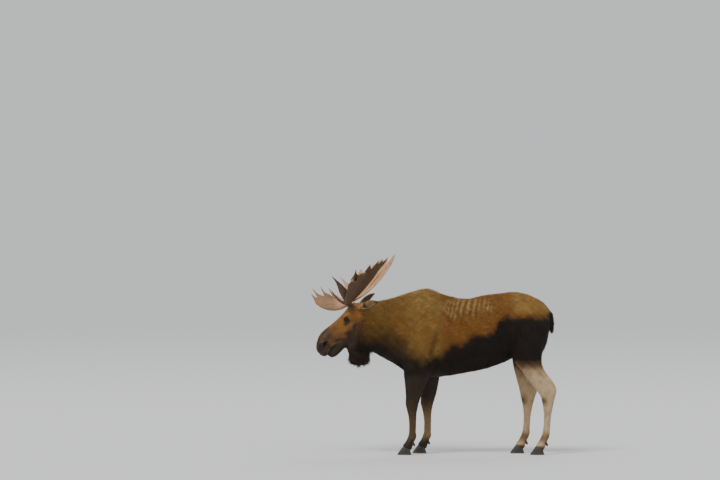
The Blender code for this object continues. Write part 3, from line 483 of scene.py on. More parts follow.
def masks_at(places, normals):
    """How much of each of the masks there is at each place."""
    x, z = places[:, 0], places[:, 2]
    along, above, out = on_head(places)
    head, ears, bell = head_share(places), ear_share(places), bell_share(places)
    legs, tail = leg_share(places), tail_share(places)
    patchy, fine = drift(places, 0.16, 11), drift(places, 0.045, 12)
    ridge_share, phase = ripple_phase(places)
    # Painted light: the crests of the rows of the back are painted khaki and tan as if lit.
    ridges = ridge_share * (0.5 + 0.5 * np.sin(phase))

    speckle = drift(places, 0.014, 21)
    khaki = 0.70 * ramp(0.22, 0.02, x)
    khaki += 0.30 * band(x, -0.42, -0.20, 0.02, 0.16) * ramp(1.45, 1.74, z)
    khaki = np.maximum(khaki, 0.95 * ramp(0.80, 0.98, x) * ramp(1.60, 1.71, z))
    khaki = np.maximum(khaki, 0.25 + ridges * 0.45 + 0.15 * ramp(0.0, 0.1, x) * ramp(1.62, 1.78, z))
    khaki = khaki * (0.92 + 0.10 * patchy + 0.16 * fine + 0.22 * speckle)
    croup = peak((x, 1.10, 0.12), (places[:, 1], MIDDLE_Y - 0.2, 0.3), (z, 1.78, 0.06))
    light = ridge_share * ramp(0.40, 0.90, ridges) * (0.8 + 0.3 * fine)
    light += 0.12 * croup + 0.10 * np.clip(speckle, 0, 1)
    light += 0.34 * band(x, -0.50, -0.25, -0.05, 0.06) * ramp(1.66, 1.82, z) * (0.8 + 0.4 * fine)
    light += 0.20 * band(x, -0.78, -0.62, -0.48, -0.30) * ramp(1.50, 1.66, z) * (0.8 + 0.4 * fine)

    line = np.interp(x, DARK_LINE_X, DARK_LINE_Z)
    soft = np.interp(x, DARK_LINE_X, DARK_LINE_SOFT)
    neck_shade = 0.08 + 0.34 * ramp(1.64, 1.42, z)
    patches = (
        # Dark coat below the slanting line, which also holds painted shade of the lower body.
        0.97 * ramp(line + soft, line - soft, z + 0.028 * patchy + 0.014 * fine),
        ramp(1.27, 1.36, x) * ramp(1.74, 1.62, z),
        # Painted shade in the crease behind the shoulder.
        0.55 * peak((x - 0.25 * (z - 1.3), -0.02, 0.035)) * ramp(1.55, 1.35, z),
        # Painted shade in the troughs between the rows of the back.
        0.46 * ridge_share * ramp(0.1, -0.7, np.sin(phase)),
        neck_shade * ramp(-0.30, -0.62, x) * (0.8 + 0.3 * fine - 0.5 * speckle),
        0.24 * np.clip(speckle, 0, 1) * ramp(0.4, 0.1, x),
    )
    dark = np.max(patches, axis=0)

    hind = ramp(0.84, 0.92, x)
    # Painted shade: the stockings of the far legs are painted darker, as if they stood in more shade.
    near_side = ramp(MIDDLE_Y + 0.05, MIDDLE_Y - 0.05, places[:, 1])
    shaded = z + 0.030 * patchy + 0.016 * fine + 0.05 * (1 - near_side)
    pale = hind * ramp(1.21, 0.90, shaded) * (0.92 - 0.12 * np.clip(fine, 0, 1))
    tarsal = 0.9 * peak((z, 0.63, 0.045)) * ramp(-0.2, 0.5, -normals[:, 0])
    fetlock = peak((z, 0.20, 0.05)) * 0.55
    pale *= 0.88 + 0.12 * near_side
    pale *= 1 - np.clip(0.75 * tarsal + fetlock + 0.8 * ramp(0.12, 0.08, z), 0, 1)
    inner_side = ramp(-0.2, 0.7, -normals[:, 1] * np.sign(places[:, 1] - MIDDLE_Y))
    shin = (0.14 + 0.30 * inner_side) * band(z, 0.12, 0.22, 0.34, 0.70)
    pale = np.maximum(pale, (1 - hind) * legs * shin)
    dark = np.where(legs > 0, np.maximum(dark * (1 - pale), 0.9 * legs * (1 - pale)), dark)

    # The face: orange brown, with a dark eye, a yellow brow, a greyer muzzle and a black chin.
    face = {name: np.zeros(len(places)) for name in MASKS}

    def at_least(name, value):
        face[name] = np.maximum(face[name], value)

    muzzle = ramp(0.30, 0.50, along)
    face["gold"] = 0.20 + 0.12 * ramp(-0.05, 0.02, above) * ramp(0.45, 0.2, along) + 0.08 * patchy
    jaw_edge = above + 0.030 * drift(places, 0.045, 25) + 0.010 * fine
    face["dark"] = 0.45 + 0.26 * muzzle + 0.58 * ramp(-0.130, -0.222, jaw_edge) + 0.06 * fine
    face["dark"] += 0.10 * drift(places, 0.055, 26)
    face["dark"] += 0.16 * ramp(0.50, 0.62, along)
    face["dark"] -= 0.05 * ramp(0.26, 0.10, along) * ramp(-0.13, -0.05, above)
    # Painted shadow of the antlers on the forehead.
    face["dark"] += 0.22 * ramp(0.17, 0.04, along) * ramp(-0.03, 0.04, above)
    face["grey"] = 0.65 * muzzle * (0.8 + 0.2 * fine)
    face["dark"] = np.minimum(face["dark"], 0.94)
    at_least("dark", 0.58 * ramp(0.06, -0.07, along) * ramp(-0.06, -0.18, above))
    for side in SIDES:
        nose, up, depth = in_frame(places, EYE_FLATS[side])
        close = ramp(0.06, 0.03, np.abs(depth))
        # Dark hair about the eye and below it, which also holds painted shade of the eye's socket.
        ring = ramp(0.042, 0.021, np.hypot((nose - 0.004) * 0.80, up + 0.003)) * close
        ring *= 1 + 0.25 * fine
        tail_of_eye = 1.3 * peak((nose, 0.032, 0.030), (up, -0.046, 0.034))
        at_least("dark", 0.95 * np.clip(np.maximum(ring, tail_of_eye), 0, 1))
        brow = peak((nose, -0.055, 0.034), (up, 0.038, 0.020))
        face["gold"] += 0.40 * brow * ramp(0.09, 0.06, np.abs(depth))
        at_least("bare", ramp(0.0022, 0.0008, from_aperture(nose, up)) * ramp(0.05, 0.03, np.abs(depth)))
        nose, up, depth = in_frame(places, NOSTRIL_FLATS[side])
        hole = from_nostril(nose, up)
        close = ramp(0.08, 0.06, np.abs(depth))
        at_least("bare", ramp(0.006, 0.000, hole) * close)
        at_least("dark", 0.8 * ramp(0.022, 0.006, hole) * close)
    height, mouth = lip_line(places)
    lip = mouth * peak((height, 0.009, 0.006))
    face["light"] += 0.22 * lip * ramp(0.66, 0.58, along)
    at_least("grey", lip)
    face["dark"] *= 1 - 0.45 * lip
    at_least("bare", mouth * peak((height, 0, 0.004)))
    tip = ramp(0.648, 0.662, along) * ramp(0.030, 0.018, np.abs(out)) * ramp(-0.17, -0.15, above)
    at_least("bare", tip)
    chin = POLL + NOSEWARD * 0.469 - CROWNWARD * 0.183 - ACROSS * 0.07
    face["light"] += 0.25 * peak(*zip(places.T, chin, (0.03, 0.08, 0.02)))

    body = {"gold": khaki, "dark": dark, "pale": pale, "light": light, "grey": 0 * x, "bare": 0 * x}
    inside = ramp(0.34, 0.74, -normals[:, 0] * 0.5 - normals[:, 1] * np.sign(out) * -0.75)
    ear_ways = np.where((out > 0)[:, None], EAR_WAYS["right"], EAR_WAYS["left"])
    stretched = places - ear_ways * (0.85 * (places * ear_ways).sum(axis=1))[:, None]
    streak = ramp(0.0, 0.8, drift(stretched, 0.013, 19)) * ramp(-0.3, 0.5, drift(places, 0.06, 20) + 0.3)
    for name, in_ear, in_bell, on_tail in (
        ("gold", 0.15 + 0.50 * inside, 0.05, 0.0),
        ("dark", 0.74 - 0.46 * inside + 0.34 * inside * streak, 0.93 - 0.15 * np.clip(patchy, 0, 1), 0.97),
        ("pale", 0.28 * inside * (1 - streak), 0.0, 0.0),
        ("light", 0.25 * inside * (1 - streak), 0.0, 0.0),
        ("grey", 0.5 + 0 * x, 0.15, 0.0),
        ("bare", 0 * x, 0.0, 0.0),
    ):
        steps = ((face[name], head), (in_ear, ears), (in_bell, bell), (on_tail, tail))
        body[name] = toward_each(body[name], steps)
    return np.clip(np.stack([body[name] for name in MASKS], axis=1), 0, 1)


def keep(mesh, name, vectors):
    """Stores a vector for each vertex under this name, for the material to read."""
    made = mesh.attributes.new(name, "FLOAT_VECTOR", "POINT")
    made.data.foreach_set("vector", vectors.astype(np.float32).ravel())


def keep_masks(mesh, masks):
    """Stores the six masks on the mesh's vertices, as two attributes of three numbers each."""
    keep(mesh, "coat_a", masks[:, :3])
    keep(mesh, "coat_b", masks[:, 3:])


def lie_of(places, normals):
    """Unit vectors along the skin, the way the hair lies: from the nose to the tail, and down the legs."""
    x, z = places[:, 0], places[:, 2]
    aside = (places[:, 1] - MIDDLE_Y) / 0.3
    along, above, out = on_head(places)
    face = -np.array(NOSEWARD) - 0.30 * np.array(CROWNWARD)
    face = face + np.outer(ramp(-0.05, -0.16, above) * ramp(0.45, 0.2, along) * 0.5, -np.array(CROWNWARD))
    turns = [
        ((0.80, 0.1 * aside, -0.62), ramp(-0.30, -0.50, x) * ramp(1.80, 1.55, z)),
        ((0.97, 0.2 * aside, 0.05), ramp(-0.30, -0.50, x) * ramp(1.60, 1.78, z)),
        ((0.55, 0, -0.84), band(x, -0.45, -0.30, -0.05, 0.10) * ramp(1.60, 1.35, z)),
        ((0.15, 0, -1), ramp(-0.32, -0.42, x) * ramp(1.45, 1.25, z)),
        ((0.45, 0, -0.90), ramp(0.80, 1.00, x) * ramp(1.72, 1.50, z)),
        ((1, 0, -0.05), ramp(-0.3, -0.8, normals[:, 2]) * band(x, -0.1, 0.1, 0.85, 1.0)),
        ((0.40, 0, -0.85), 0.75 * ripple_phase(places)[0]),
        ((0.06, 0, -1), leg_share(places)),
        (face.T, head_share(places)),
        ((0.08, 0, -1), bell_share(places)),
        ((0.10, 0, -1), tail_share(places)),
    ]
    turns += [(EAR_WAYS[side], ear_share(places) * (np.sign(out) == SIDES[side])) for side in SIDES]
    way = (1, 0.35 * np.clip(aside, -1, 1) * ramp(1.5, 1.8, z), -0.22 - 0.5 * ramp(1.6, 1.2, z))
    way = np.stack(np.broadcast_arrays(*way), axis=1)
    for target, share in turns:
        way = toward(way, np.stack(np.broadcast_arrays(*target, x)[:3], axis=1), share[:, None])
    outward = (way * normals).sum(axis=1)
    hanging = np.maximum(bell_share(places), tail_share(places))
    way = way - normals * np.where(outward > 0, outward * (1 - 0.9 * hanging), outward)[:, None]
    return way / np.maximum(np.linalg.norm(way, axis=1), 1e-6)[:, None]


def ear_way(side):
    """The long direction of an ear, from its root to its tip."""
    found = places_of(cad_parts[f"ear_{side}"].data)
    middle = found.mean(axis=0)
    way = np.linalg.svd(found - middle, full_matrices=False)[2][0]
    return way * np.sign(way @ (middle - np.array(POLL)))


EAR_WAYS = {side: ear_way(side) for side in SIDES}


def paint(name):
    """A new material, its nodes and its shader."""
    made = bpy.data.materials.new(name)
    made.use_nodes = True
    return made, made.node_tree, made.node_tree.nodes["Principled BSDF"]


def fill(tree, made, values):
    """Sets a node's inputs, by name or number: a socket is linked, and any other value is put in."""
    for key, value in values.items():
        if isinstance(value, bpy.types.NodeSocket):
            tree.links.new(value, made.inputs[key])
        else:
            made.inputs[key].default_value = value
    return made


def node(tree, kind, settings=None, numbered=None, **named):
    """A new node with these settings and these inputs."""
    made = tree.nodes.new(kind)
    for key, value in (settings or {}).items():
        setattr(made, key, value)
    return fill(tree, made, {**(numbered or {}), **named})


def reckoned(tree, kind, *values):
    """One step of arithmetic on numbers or sockets."""
    return node(tree, "ShaderNodeMath", {"operation": kind}, dict(enumerate(values))).outputs[0]


def mixed(tree, share, first, second):
    """First with second laid over it by share."""
    return node(tree, "ShaderNodeMix", {"data_type": "RGBA"}, {0: share, 6: first, 7: second}).outputs[2]


def parted(tree, vector):
    return node(tree, "ShaderNodeSeparateXYZ", Vector=vector).outputs


def noise(tree, place, scale, detail, roughness=0.5):
    made = node(tree, "ShaderNodeTexNoise", Vector=place, Scale=scale, Detail=detail, Roughness=roughness)
    return made.outputs[0]


def bumped(tree, height, strength, distance):
    return node(tree, "ShaderNodeBump", Strength=strength, Distance=distance, Height=height).outputs[0]


def attribute(tree, name):
    return node(tree, "ShaderNodeAttribute", {"attribute_name": name}).outputs["Vector"]


def albedo(red, green, blue):
    """A colour as it looks on screen, 0 to 255, as the paint that gives it."""
    shares = [value / 255 for value in (red, green, blue)]
    return (*(((c + 0.055) / 1.055) ** 2.4 if c * 255 > 10 else c / 12.92 for c in shares), 1.0)


RUST, KHAKI, BLACK = albedo(157, 93, 24), albedo(190, 147, 72), albedo(27, 20, 15)
STOCKING, TAN = albedo(206, 180, 142), albedo(226, 184, 116)
MUZZLE, NOSE_SKIN = albedo(98, 76, 50), albedo(34, 29, 29)


def hair_colour_group():
    """Masks and the place on a hair in, the hair's colour and roughness out."""
    tree = bpy.data.node_groups.new("hair_colour", "ShaderNodeTree")
    for label, kind, value in (
        ("Gold Dark Pale", "Vector", (0, 0, 0)),
        ("Light Grey Bare", "Vector", (0, 0, 0)),
        ("Toward Tip", "Float", 0.7),
        ("Chance", "Float", 0.5),
        ("Streaks", "Float", 0.5),
    ):
        socket = tree.interface.new_socket(label, in_out="INPUT", socket_type=f"NodeSocket{kind}")
        socket.default_value = value
    for label, kind in (("Color", "Color"), ("Roughness", "Float")):
        tree.interface.new_socket(label, in_out="OUTPUT", socket_type=f"NodeSocket{kind}")
    given = tree.nodes.new("NodeGroupInput").outputs
    gold, black, pale = list(parted(tree, given["Gold Dark Pale"]))
    light, grey, bare = list(parted(tree, given["Light Grey Bare"]))
    hair = mixed(tree, gold, RUST, KHAKI)
    hair = mixed(tree, grey, hair, MUZZLE)
    hair = mixed(tree, pale, hair, STOCKING)
    tips = reckoned(tree, "MULTIPLY_ADD", given["Toward Tip"], 0.9, 0.3)
    hair = mixed(tree, reckoned(tree, "MULTIPLY", light, tips), hair, TAN)
    hair = mixed(tree, black, hair, BLACK)
    # Painted shade: the hair darkens towards its root, as if shaded by the coat above it.
    depth = reckoned(tree, "MULTIPLY_ADD", given["Toward Tip"], 0.55, 0.50)
    odd = reckoned(tree, "MULTIPLY_ADD", given["Chance"], 0.70, 0.66)
    lines = reckoned(tree, "MULTIPLY_ADD", given["Streaks"], 0.60, 0.70)
    value = reckoned(tree, "MULTIPLY", reckoned(tree, "MULTIPLY", depth, odd), lines)
    hue = reckoned(tree, "MULTIPLY_ADD", given["Chance"], 0.024, 0.488)
    hair = node(tree, "ShaderNodeHueSaturation", Hue=hue, Value=value, Color=hair).outputs[0]
    rough = reckoned(tree, "MULTIPLY_ADD", bare, -0.25, 0.62)
    hair = mixed(tree, bare, hair, NOSE_SKIN)
    fill(tree, tree.nodes.new("NodeGroupOutput"), {"Color": hair, "Roughness": rough})
    return tree


HAIR_COLOUR = hair_colour_group()


def finish_hair(tree, shader, toward_tip, chance, streaks, bump, gloss):
    """Colours the shader by the masks on the mesh, with the streaks of the hair as fine relief."""
    coloured = node(tree, "ShaderNodeGroup", {"node_tree": HAIR_COLOUR})
    masks = {"Gold Dark Pale": attribute(tree, "coat_a"), "Light Grey Bare": attribute(tree, "coat_b")}
    fill(tree, coloured, {**masks, "Toward Tip": toward_tip, "Chance": chance, "Streaks": streaks})
    look = {name: coloured.outputs[name] for name in ("Color", "Roughness")}
    fill(tree, shader, {"Base Color": look["Color"], "Roughness": look["Roughness"], "Normal": bump})
    shader.inputs["Specular IOR Level"].default_value = gloss


def hide_paint():
    """Short hair that lies flat on the skin: streaks along the lie, in colour and as fine relief."""
    made, tree, shader = paint("hide_hair")
    place = node(tree, "ShaderNodeTexCoord").outputs["Object"]
    lie = attribute(tree, "lie")
    vector = "ShaderNodeVectorMath"
    run = node(tree, vector, {"operation": "DOT_PRODUCT"}, {0: place, 1: lie}).outputs["Value"]
    run = reckoned(tree, "MULTIPLY", run, -0.86)
    drawn = node(tree, vector, {"operation": "SCALE"}, {0: lie}, Scale=run).outputs[0]
    drawn = node(tree, vector, {"operation": "ADD"}, {0: place, 1: drawn}).outputs[0]
    strands = noise(tree, drawn, 520.0, 3.0, 0.6)
    tufts = noise(tree, drawn, 110.0, 2.0)
    # Painted shade under the coat, read from the hide.
    shade = node(tree, "ShaderNodeAttribute", {"attribute_name": "shade"}).outputs["Fac"]
    finish_hair(tree, shader, shade, tufts, strands, bumped(tree, strands, 0.55, 0.0016), 0.30)
    return made


hide_places, hide_normals = places_of(hide), normals_of(hide)
keep_masks(hide, masks_at(hide_places, hide_normals))
keep(hide, "lie", lie_of(hide_places, hide_normals))
# Painted shade: the hide is painted darker under the long coat, as if shaded by it, and less so under the
# short hair of head, legs and ears.
short_haired = head_share(hide_places) + leg_share(hide_places) + ear_share(hide_places)
hide_shade = 0.10 + 0.60 * np.clip(short_haired, 0, 1)
hide.attributes.new("shade", "FLOAT", "POINT").data.foreach_set("value", hide_shade.astype(np.float32))
hide.materials.append(hide_paint())


# ---- Coat ---------------------------------------------------------------------------------------
# Guard hair in pointed locks, each a closed three-sided blade rooted in the hide and lying along it:
# longest on the crest, under the throat and on the bell, shortest on the face and legs.
LONG_RINGS = 2  # between the root and the tip of a lock that bends
ROOT_DEPTH = 0.0015
LOCK_THICKNESS = 0.32  # of a lock's half width
LOCK_COVER = 0.55  # of the length times width that a lock really covers
LENGTH_SPREAD, WIDTH_SPREAD, LIFT_SPREAD = (0.72, 1.22), (0.75, 1.25), (0.75, 1.15)  # about the usual
CLUMP_STRETCH = 0.82  # the nearer to 1, the longer the clumps of like locks run along the lie
SIDEWAYS_BEND, STEEPEST_LIFT = 0.16, 0.6  # of a lock's length


def lock_shape(rings):
    """One lock of unit length, half width and thickness: (across, over, along), and its triangles."""
    shape = bmesh.new()
    bmesh.ops.create_cone(shape, cap_ends=True, segments=3, radius1=1, radius2=0, depth=1)
    bmesh.ops.remove_doubles(shape, verts=shape.verts, dist=1e-4)
    if rings:
        upright = [edge for edge in shape.edges if abs(edge.verts[0].co.z - edge.verts[1].co.z) > 0.5]
        bmesh.ops.subdivide_edges(shape, edges=upright, cuts=rings)
    bmesh.ops.triangulate(shape, faces=shape.faces)
    bmesh.ops.recalc_face_normals(shape, faces=shape.faces)
    shape.verts.index_update()
    corners = np.array([vert.co for vert in shape.verts])
    triangles = np.array([[vert.index for vert in face.verts] for face in shape.faces])
    shape.free()
    along = corners[:, 2] + 0.5
    reach = np.maximum(1 - along, 1e-6)
    first = np.argmin(corners[:, 2])
    turn = math.pi / 2 - math.atan2(corners[first, 1], corners[first, 0])
    across = (corners[:, 0] * math.cos(turn) - corners[:, 1] * math.sin(turn)) / reach
    over = (corners[:, 0] * math.sin(turn) + corners[:, 1] * math.cos(turn)) / reach
    swell = np.where(along > 0.999, 0, (0.6 + 1.6 * along) * (1 - along) ** 0.75)
    return np.stack((across * swell, over * swell, along), axis=1), triangles


BELL_END, TAIL_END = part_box("bell")[0].z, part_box("tail")[0].z
BELL_TUFTS = 0.058  # from one hanging tuft of the bell to the next


def hair_length(places):
    """The length of the locks at each place, in metres."""
    x, z = places[:, 0], places[:, 2]
    along, above, _ = on_head(places)
    mane = ramp(-0.10, -0.30, x) * (0.008 + 0.018 * ramp(1.52, 1.72, z) + 0.016 * ramp(1.35, 1.15, z))
    face = 0.0085 + 0.0105 * ramp(0.30, 0.05, along)
    face = face + 0.014 * ramp(-0.10, -0.18, above) * ramp(0.48, 0.3, along)
    tufts = ramp(0.0, 1.0, np.sin((x - 0.03) * 2 * math.pi / BELL_TUFTS)) * ramp(0.075, 0.020, z - BELL_END)
    hang = np.clip(1.02 * (z - BELL_END) - 0.004, 0.014, 0.036 + 0.064 * ramp(1.25, 1.16, z))
    steps = (
        (0.052, band(x, -0.45, -0.2, 0.0, 0.10) * ramp(1.68, 1.85, z)),
        (0.034, ramp(1.45, 1.20, z) * ramp(0.8, 1.0, x)),
        (0.020, leg_share(places) * ramp(1.15, 0.80, z)),
        (0.013, ramp(0.62, 0.45, z)),
        (0.026, ramp(0.140, 0.105, z)),
        (face, head_share(places)),
        (hang + 0.050 * tufts, bell_share(places)),
        (0.018, ear_share(places)),
        (np.clip(z - TAIL_END + 0.014, 0.016, 0.055), tail_share(places)),
    )
    return toward_each(0.042 - 0.010 * ripple_phase(places)[0] + mane, steps)


def hair_slimness(places):
    """The width of the locks, as a share of their length."""
    shares = (share(places) for share in (leg_share, head_share, ear_share, bell_share, tail_share))
    body = 0.085 - 0.027 * ramp(-0.15, -0.50, places[:, 0])
    return toward_each(body, zip((0.15, 0.17, 0.12, 0.036, 0.09), shares))


def hair_cover(places):
    """How many locks lie over one another at each place."""
    x, z = places[:, 0], places[:, 2]
    body = 3.7 + 1.3 * ramp(-0.25, -0.50, x) - 1.0 * ramp(0.80, 0.95, x) - 1.2 * ripple_phase(places)[0]
    steps = (
        (1.15, leg_share(places) * ramp(1.15, 0.95, z)),
        (0.90, ramp(0.45, 1.0, head_share(places))),
        (3.0, ear_share(places)),
        (7.5, bell_share(places)),
        (6.5, tail_share(places)),
    )
    return toward_each(body, steps)


def root_shade(places):
    """How bright a lock is at its root, from 0 for long hair to 1: the darker root is painted shade from
    the coat over it, and short hair is nearly one shade.
    """
    return np.maximum(0.62 * head_share(places), 0.45 * leg_share(places)) * (1 - bell_share(places))


def covered(places):
    """Whether hair grows at each place: not in the eyes, the nostrils and the mouth, nor on the hooves."""
    grows = places[:, 2] > 0.064
    for side in SIDES:
        nose, up, depth = in_frame(places, EYE_FLATS[side])
        grows &= (from_aperture(nose, up) > 0.003) | (np.abs(depth) > 0.05)
        nose, up, depth = in_frame(places, NOSTRIL_FLATS[side])
        grows &= (from_nostril(nose, up) > 0.003) | (np.abs(depth) > 0.06)
    height, mouth = lip_line(places)
    return grows & ((np.abs(height) > 0.0045) | (mouth < 0.5))


hide.calc_loop_triangles()
hide_triangles = np.empty(len(hide.loop_triangles) * 3, np.int32)
hide.loop_triangles.foreach_get("vertices", hide_triangles)
hide_triangles = hide_triangles.reshape(-1, 3)
hide_tree = KDTree(len(hide_places))
for index, place in enumerate(hide_places.tolist()):
    hide_tree.insert(place, index)
hide_tree.balance()


def skin_rise(spots, ups):
    """How far the skin lies above each of these spots, along its own up."""
    nearest = np.array([hide_tree.find(place)[1] for place in spots.tolist()])
    there = hide_normals[nearest]
    facing = np.maximum((there * ups).sum(axis=1), 0.35)
    return ((hide_places[nearest] - spots) * there).sum(axis=1) / facing


def roots(owned, thinned, seed):
    """Spreads roots over the hide where owned says, closer where hair is short. Returns all about them."""
    chance = np.random.default_rng(seed)
    corners = hide_places[hide_triangles]
    centres = corners.mean(axis=1)
    edges = corners[:, 1] - corners[:, 0], corners[:, 2] - corners[:, 0]
    areas = np.linalg.norm(np.cross(*edges), axis=1) / 2
    lock_areas = hair_length(centres) ** 2 * hair_slimness(centres) * LOCK_COVER
    running = np.cumsum(owned(centres) * areas * hair_cover(centres) / lock_areas * thinned)
    count = int(running[-1])
    picks = np.searchsorted(running, np.arange(count) + chance.random(count))
    picks = np.minimum(picks, len(running) - 1)
    share = chance.random((len(picks), 2))
    share = np.where(share.sum(axis=1, keepdims=True) > 1, 1 - share, share)
    weights = np.column_stack((1 - share.sum(axis=1), share))[:, :, None]
    where = (hide_places[hide_triangles[picks]] * weights).sum(axis=1)
    way_out = (hide_normals[hide_triangles[picks]] * weights).sum(axis=1)
    way_out /= np.linalg.norm(way_out, axis=1)[:, None]
    kept = covered(where)
    return where[kept], way_out[kept], masks_at(where[kept], way_out[kept])


def locks_from(where, normals, masks, rings, stand, ruffle, seed):
    """Corners, triangles and attributes of one lock at each root. Stand raises the tips off the skin."""
    chance = np.random.default_rng(seed)
    count = len(where)
    template, triangles = lock_shape(rings)
    lie = lie_of(where, normals)
    stretched = where - lie * (CLUMP_STRETCH * (where * lie).sum(axis=1))[:, None]
    clumps = 0.36 * drift(stretched, 0.009, 23) + 0.16 * drift(where, 0.028, 24)
    clumps = clumps * (1 - 0.6 * head_share(where))
    across = np.cross(normals, lie)
    swerve = 0.55 * drift(where, 0.075, seed + 1) + 0.30 * drift(where, 0.022, seed + 2)
    swerve = (swerve + 0.35 * chance.normal(size=count)) * ruffle
    lie = lie * np.cos(swerve)[:, None] + across * np.sin(swerve)[:, None]
    across = np.cross(normals, lie)
    length = hair_length(where) * chance.uniform(*LENGTH_SPREAD, count)
    half_width = length * hair_slimness(where) * 0.5 * chance.uniform(*WIDTH_SPREAD, count)
    ridge_share, phase = ripple_phase(where)
    raised = 0.92 + 0.35 * drift(where, 0.045, seed + 3) + 0.30 * ridge_share * np.sin(phase)
    height = coat_depth(where) * stand * raised * chance.uniform(*LIFT_SPREAD, count)
    height = np.minimum(height, STEEPEST_LIFT * length)
    hangs = np.maximum(bell_share(where), tail_share(where))
    slope = np.clip(skin_rise(where + lie * length[:, None], normals) / length, -0.30, 0.70) * (1 - hangs)
    bend = SIDEWAYS_BEND * length * chance.normal(size=count)
    along = template[:, 2]
    rise = 1 - (1 - along) ** 2
    spots = where[:, None, :] + lie[:, None, :] * (length[:, None] * along)[:, :, None]
    lift = -ROOT_DEPTH + (height[:, None] + ROOT_DEPTH) * rise + (slope * length)[:, None] * along**2
    lift = lift + half_width[:, None] * LOCK_THICKNESS * template[:, 1]
    aside = half_width[:, None] * template[:, 0] + bend[:, None] * along**2
    spots = spots + normals[:, None, :] * lift[:, :, None] + across[:, None, :] * aside[:, :, None]
    faces = triangles[None, :, :] + (np.arange(count) * len(template))[:, None, None]
    strand = np.empty((count, len(template), 3))
    strand[:, :, 0] = half_width[:, None] * template[:, 0]
    # Where along the lock its painted root shade ends, which also places it on its patch of the map.
    shade = root_shade(where)[:, None]
    strand[:, :, 1] = shade + (1 - shade) * along
    strand[:, :, 2] = np.clip(0.22 + 0.56 * chance.random(count) + clumps, 0, 1)[:, None]
    masks = np.repeat(masks, len(template), axis=0)
    return spots.reshape(-1, 3), faces.reshape(-1, 3), strand.reshape(-1, 3), masks


SLICES = 16  # along the axis of a piece, each with its own middle
PATCH = 0.0015  # half the size of a lock's patch on its map


def unrolled(where, axis, columns):
    """A place from 0 to 1 for each root on the skin unrolled about its own middle line along the axis."""
    axis = np.array(axis) / np.linalg.norm(axis)
    other = np.cross(axis, (0, 1, 0))
    other /= np.linalg.norm(other)
    third = np.cross(axis, other)
    run = where @ axis
    run = (run - run.min()) / max(np.ptp(run), 1e-6)
    turned = np.empty(len(where))
    for column in np.unique(columns):
        here = columns == column
        sliced = np.minimum((run[here] * SLICES).astype(int), SLICES - 1)
        held = np.maximum(np.bincount(sliced, minlength=SLICES), 1)
        away = []
        for way in (other, third):
            offset = where[here] @ way
            middle = np.bincount(sliced, offset, minlength=SLICES) / held
            away.append(offset - np.interp(run[here] * SLICES, np.arange(SLICES) + 0.5, middle))
        turned[here] = np.arctan2(away[1], away[0]) / (2 * math.pi) + 0.5
    count = len(np.unique(columns))
    return np.stack((0.01 + (columns + 0.01 + 0.96 * turned) / count * 0.98, 0.01 + 0.97 * run), axis=1)


def joined_locks(name, made, flat_places):
    """One mesh of many locks, with their attributes and the map on which each has a patch at its root."""
    spots, faces, strand, masks = made
    mesh = bpy.data.meshes.new(name)
    mesh.vertices.add(len(spots))
    mesh.vertices.foreach_set("co", spots.astype(np.float32).ravel())
    mesh.loops.add(faces.size)
    mesh.loops.foreach_set("vertex_index", faces.astype(np.int32).ravel())
    mesh.polygons.add(len(faces))
    mesh.polygons.foreach_set("loop_start", np.arange(len(faces), dtype=np.int32) * 3)
    mesh.polygons.foreach_set("use_smooth", np.ones(len(faces), bool))
    mesh.update(calc_edges=True)
    mesh.validate()
    keep_masks(mesh, masks)
    keep(mesh, "strand", strand)
    size = len(spots) // len(flat_places)
    shares = strand[:, 0] / np.abs(strand[:, 0]).max()
    flat = np.repeat(flat_places, size, axis=0)
    flat = flat + np.stack((shares, strand[:, 1] * 2 - 1), axis=1) * PATCH
    mesh.uv_layers.new(name="OFBake").data.foreach_set("uv", flat[faces.ravel()].astype(np.float32).ravel())
    return mesh


def coat_paint():
    """Locks of many hairs: streaks along each lock, paler and brighter towards its tip, with painted shade
    at its root.
    """
    made, tree, shader = paint("coat_hair")
    across, along, chance = list(parted(tree, attribute(tree, "strand")))
    fine = reckoned(tree, "MULTIPLY", across, 1500.0)
    run = reckoned(tree, "MULTIPLY", along, 1.6)
    odd = reckoned(tree, "MULTIPLY", chance, 311.0)
    place = node(tree, "ShaderNodeCombineXYZ", X=fine, Y=run, Z=odd).outputs[0]
    streaks = noise(tree, place, 1.0, 2.0, 0.65)
    finish_hair(tree, shader, along, chance, streaks, bumped(tree, streaks, 0.6, 0.0008), 0.35)
    return made


COAT_PAINT = coat_paint()


def above_legs(places):
    return leg_share(places) < 0.5


def region(test):
    """A piece of coat grows where the test is true and no other part, such as an ear, has it."""
    others = (ear_share, bell_share, tail_share, head_share)
    return lambda places: test(places) & (np.max([share(places) for share in others], axis=0) < 0.5)


def part(share):
    """A piece of coat grows over the part with this share. Only its own piece grows on an ear."""
    return lambda places: (share(places) >= 0.5) & ((share is ear_share) | (ear_share(places) < 0.5))


def between(low, high, test=lambda places: True):
    """The body's coat from one place to another along it, above the legs."""
    return region(lambda p: above_legs(p) & (p[:, 0] >= low) & (p[:, 0] < high) & test(p))


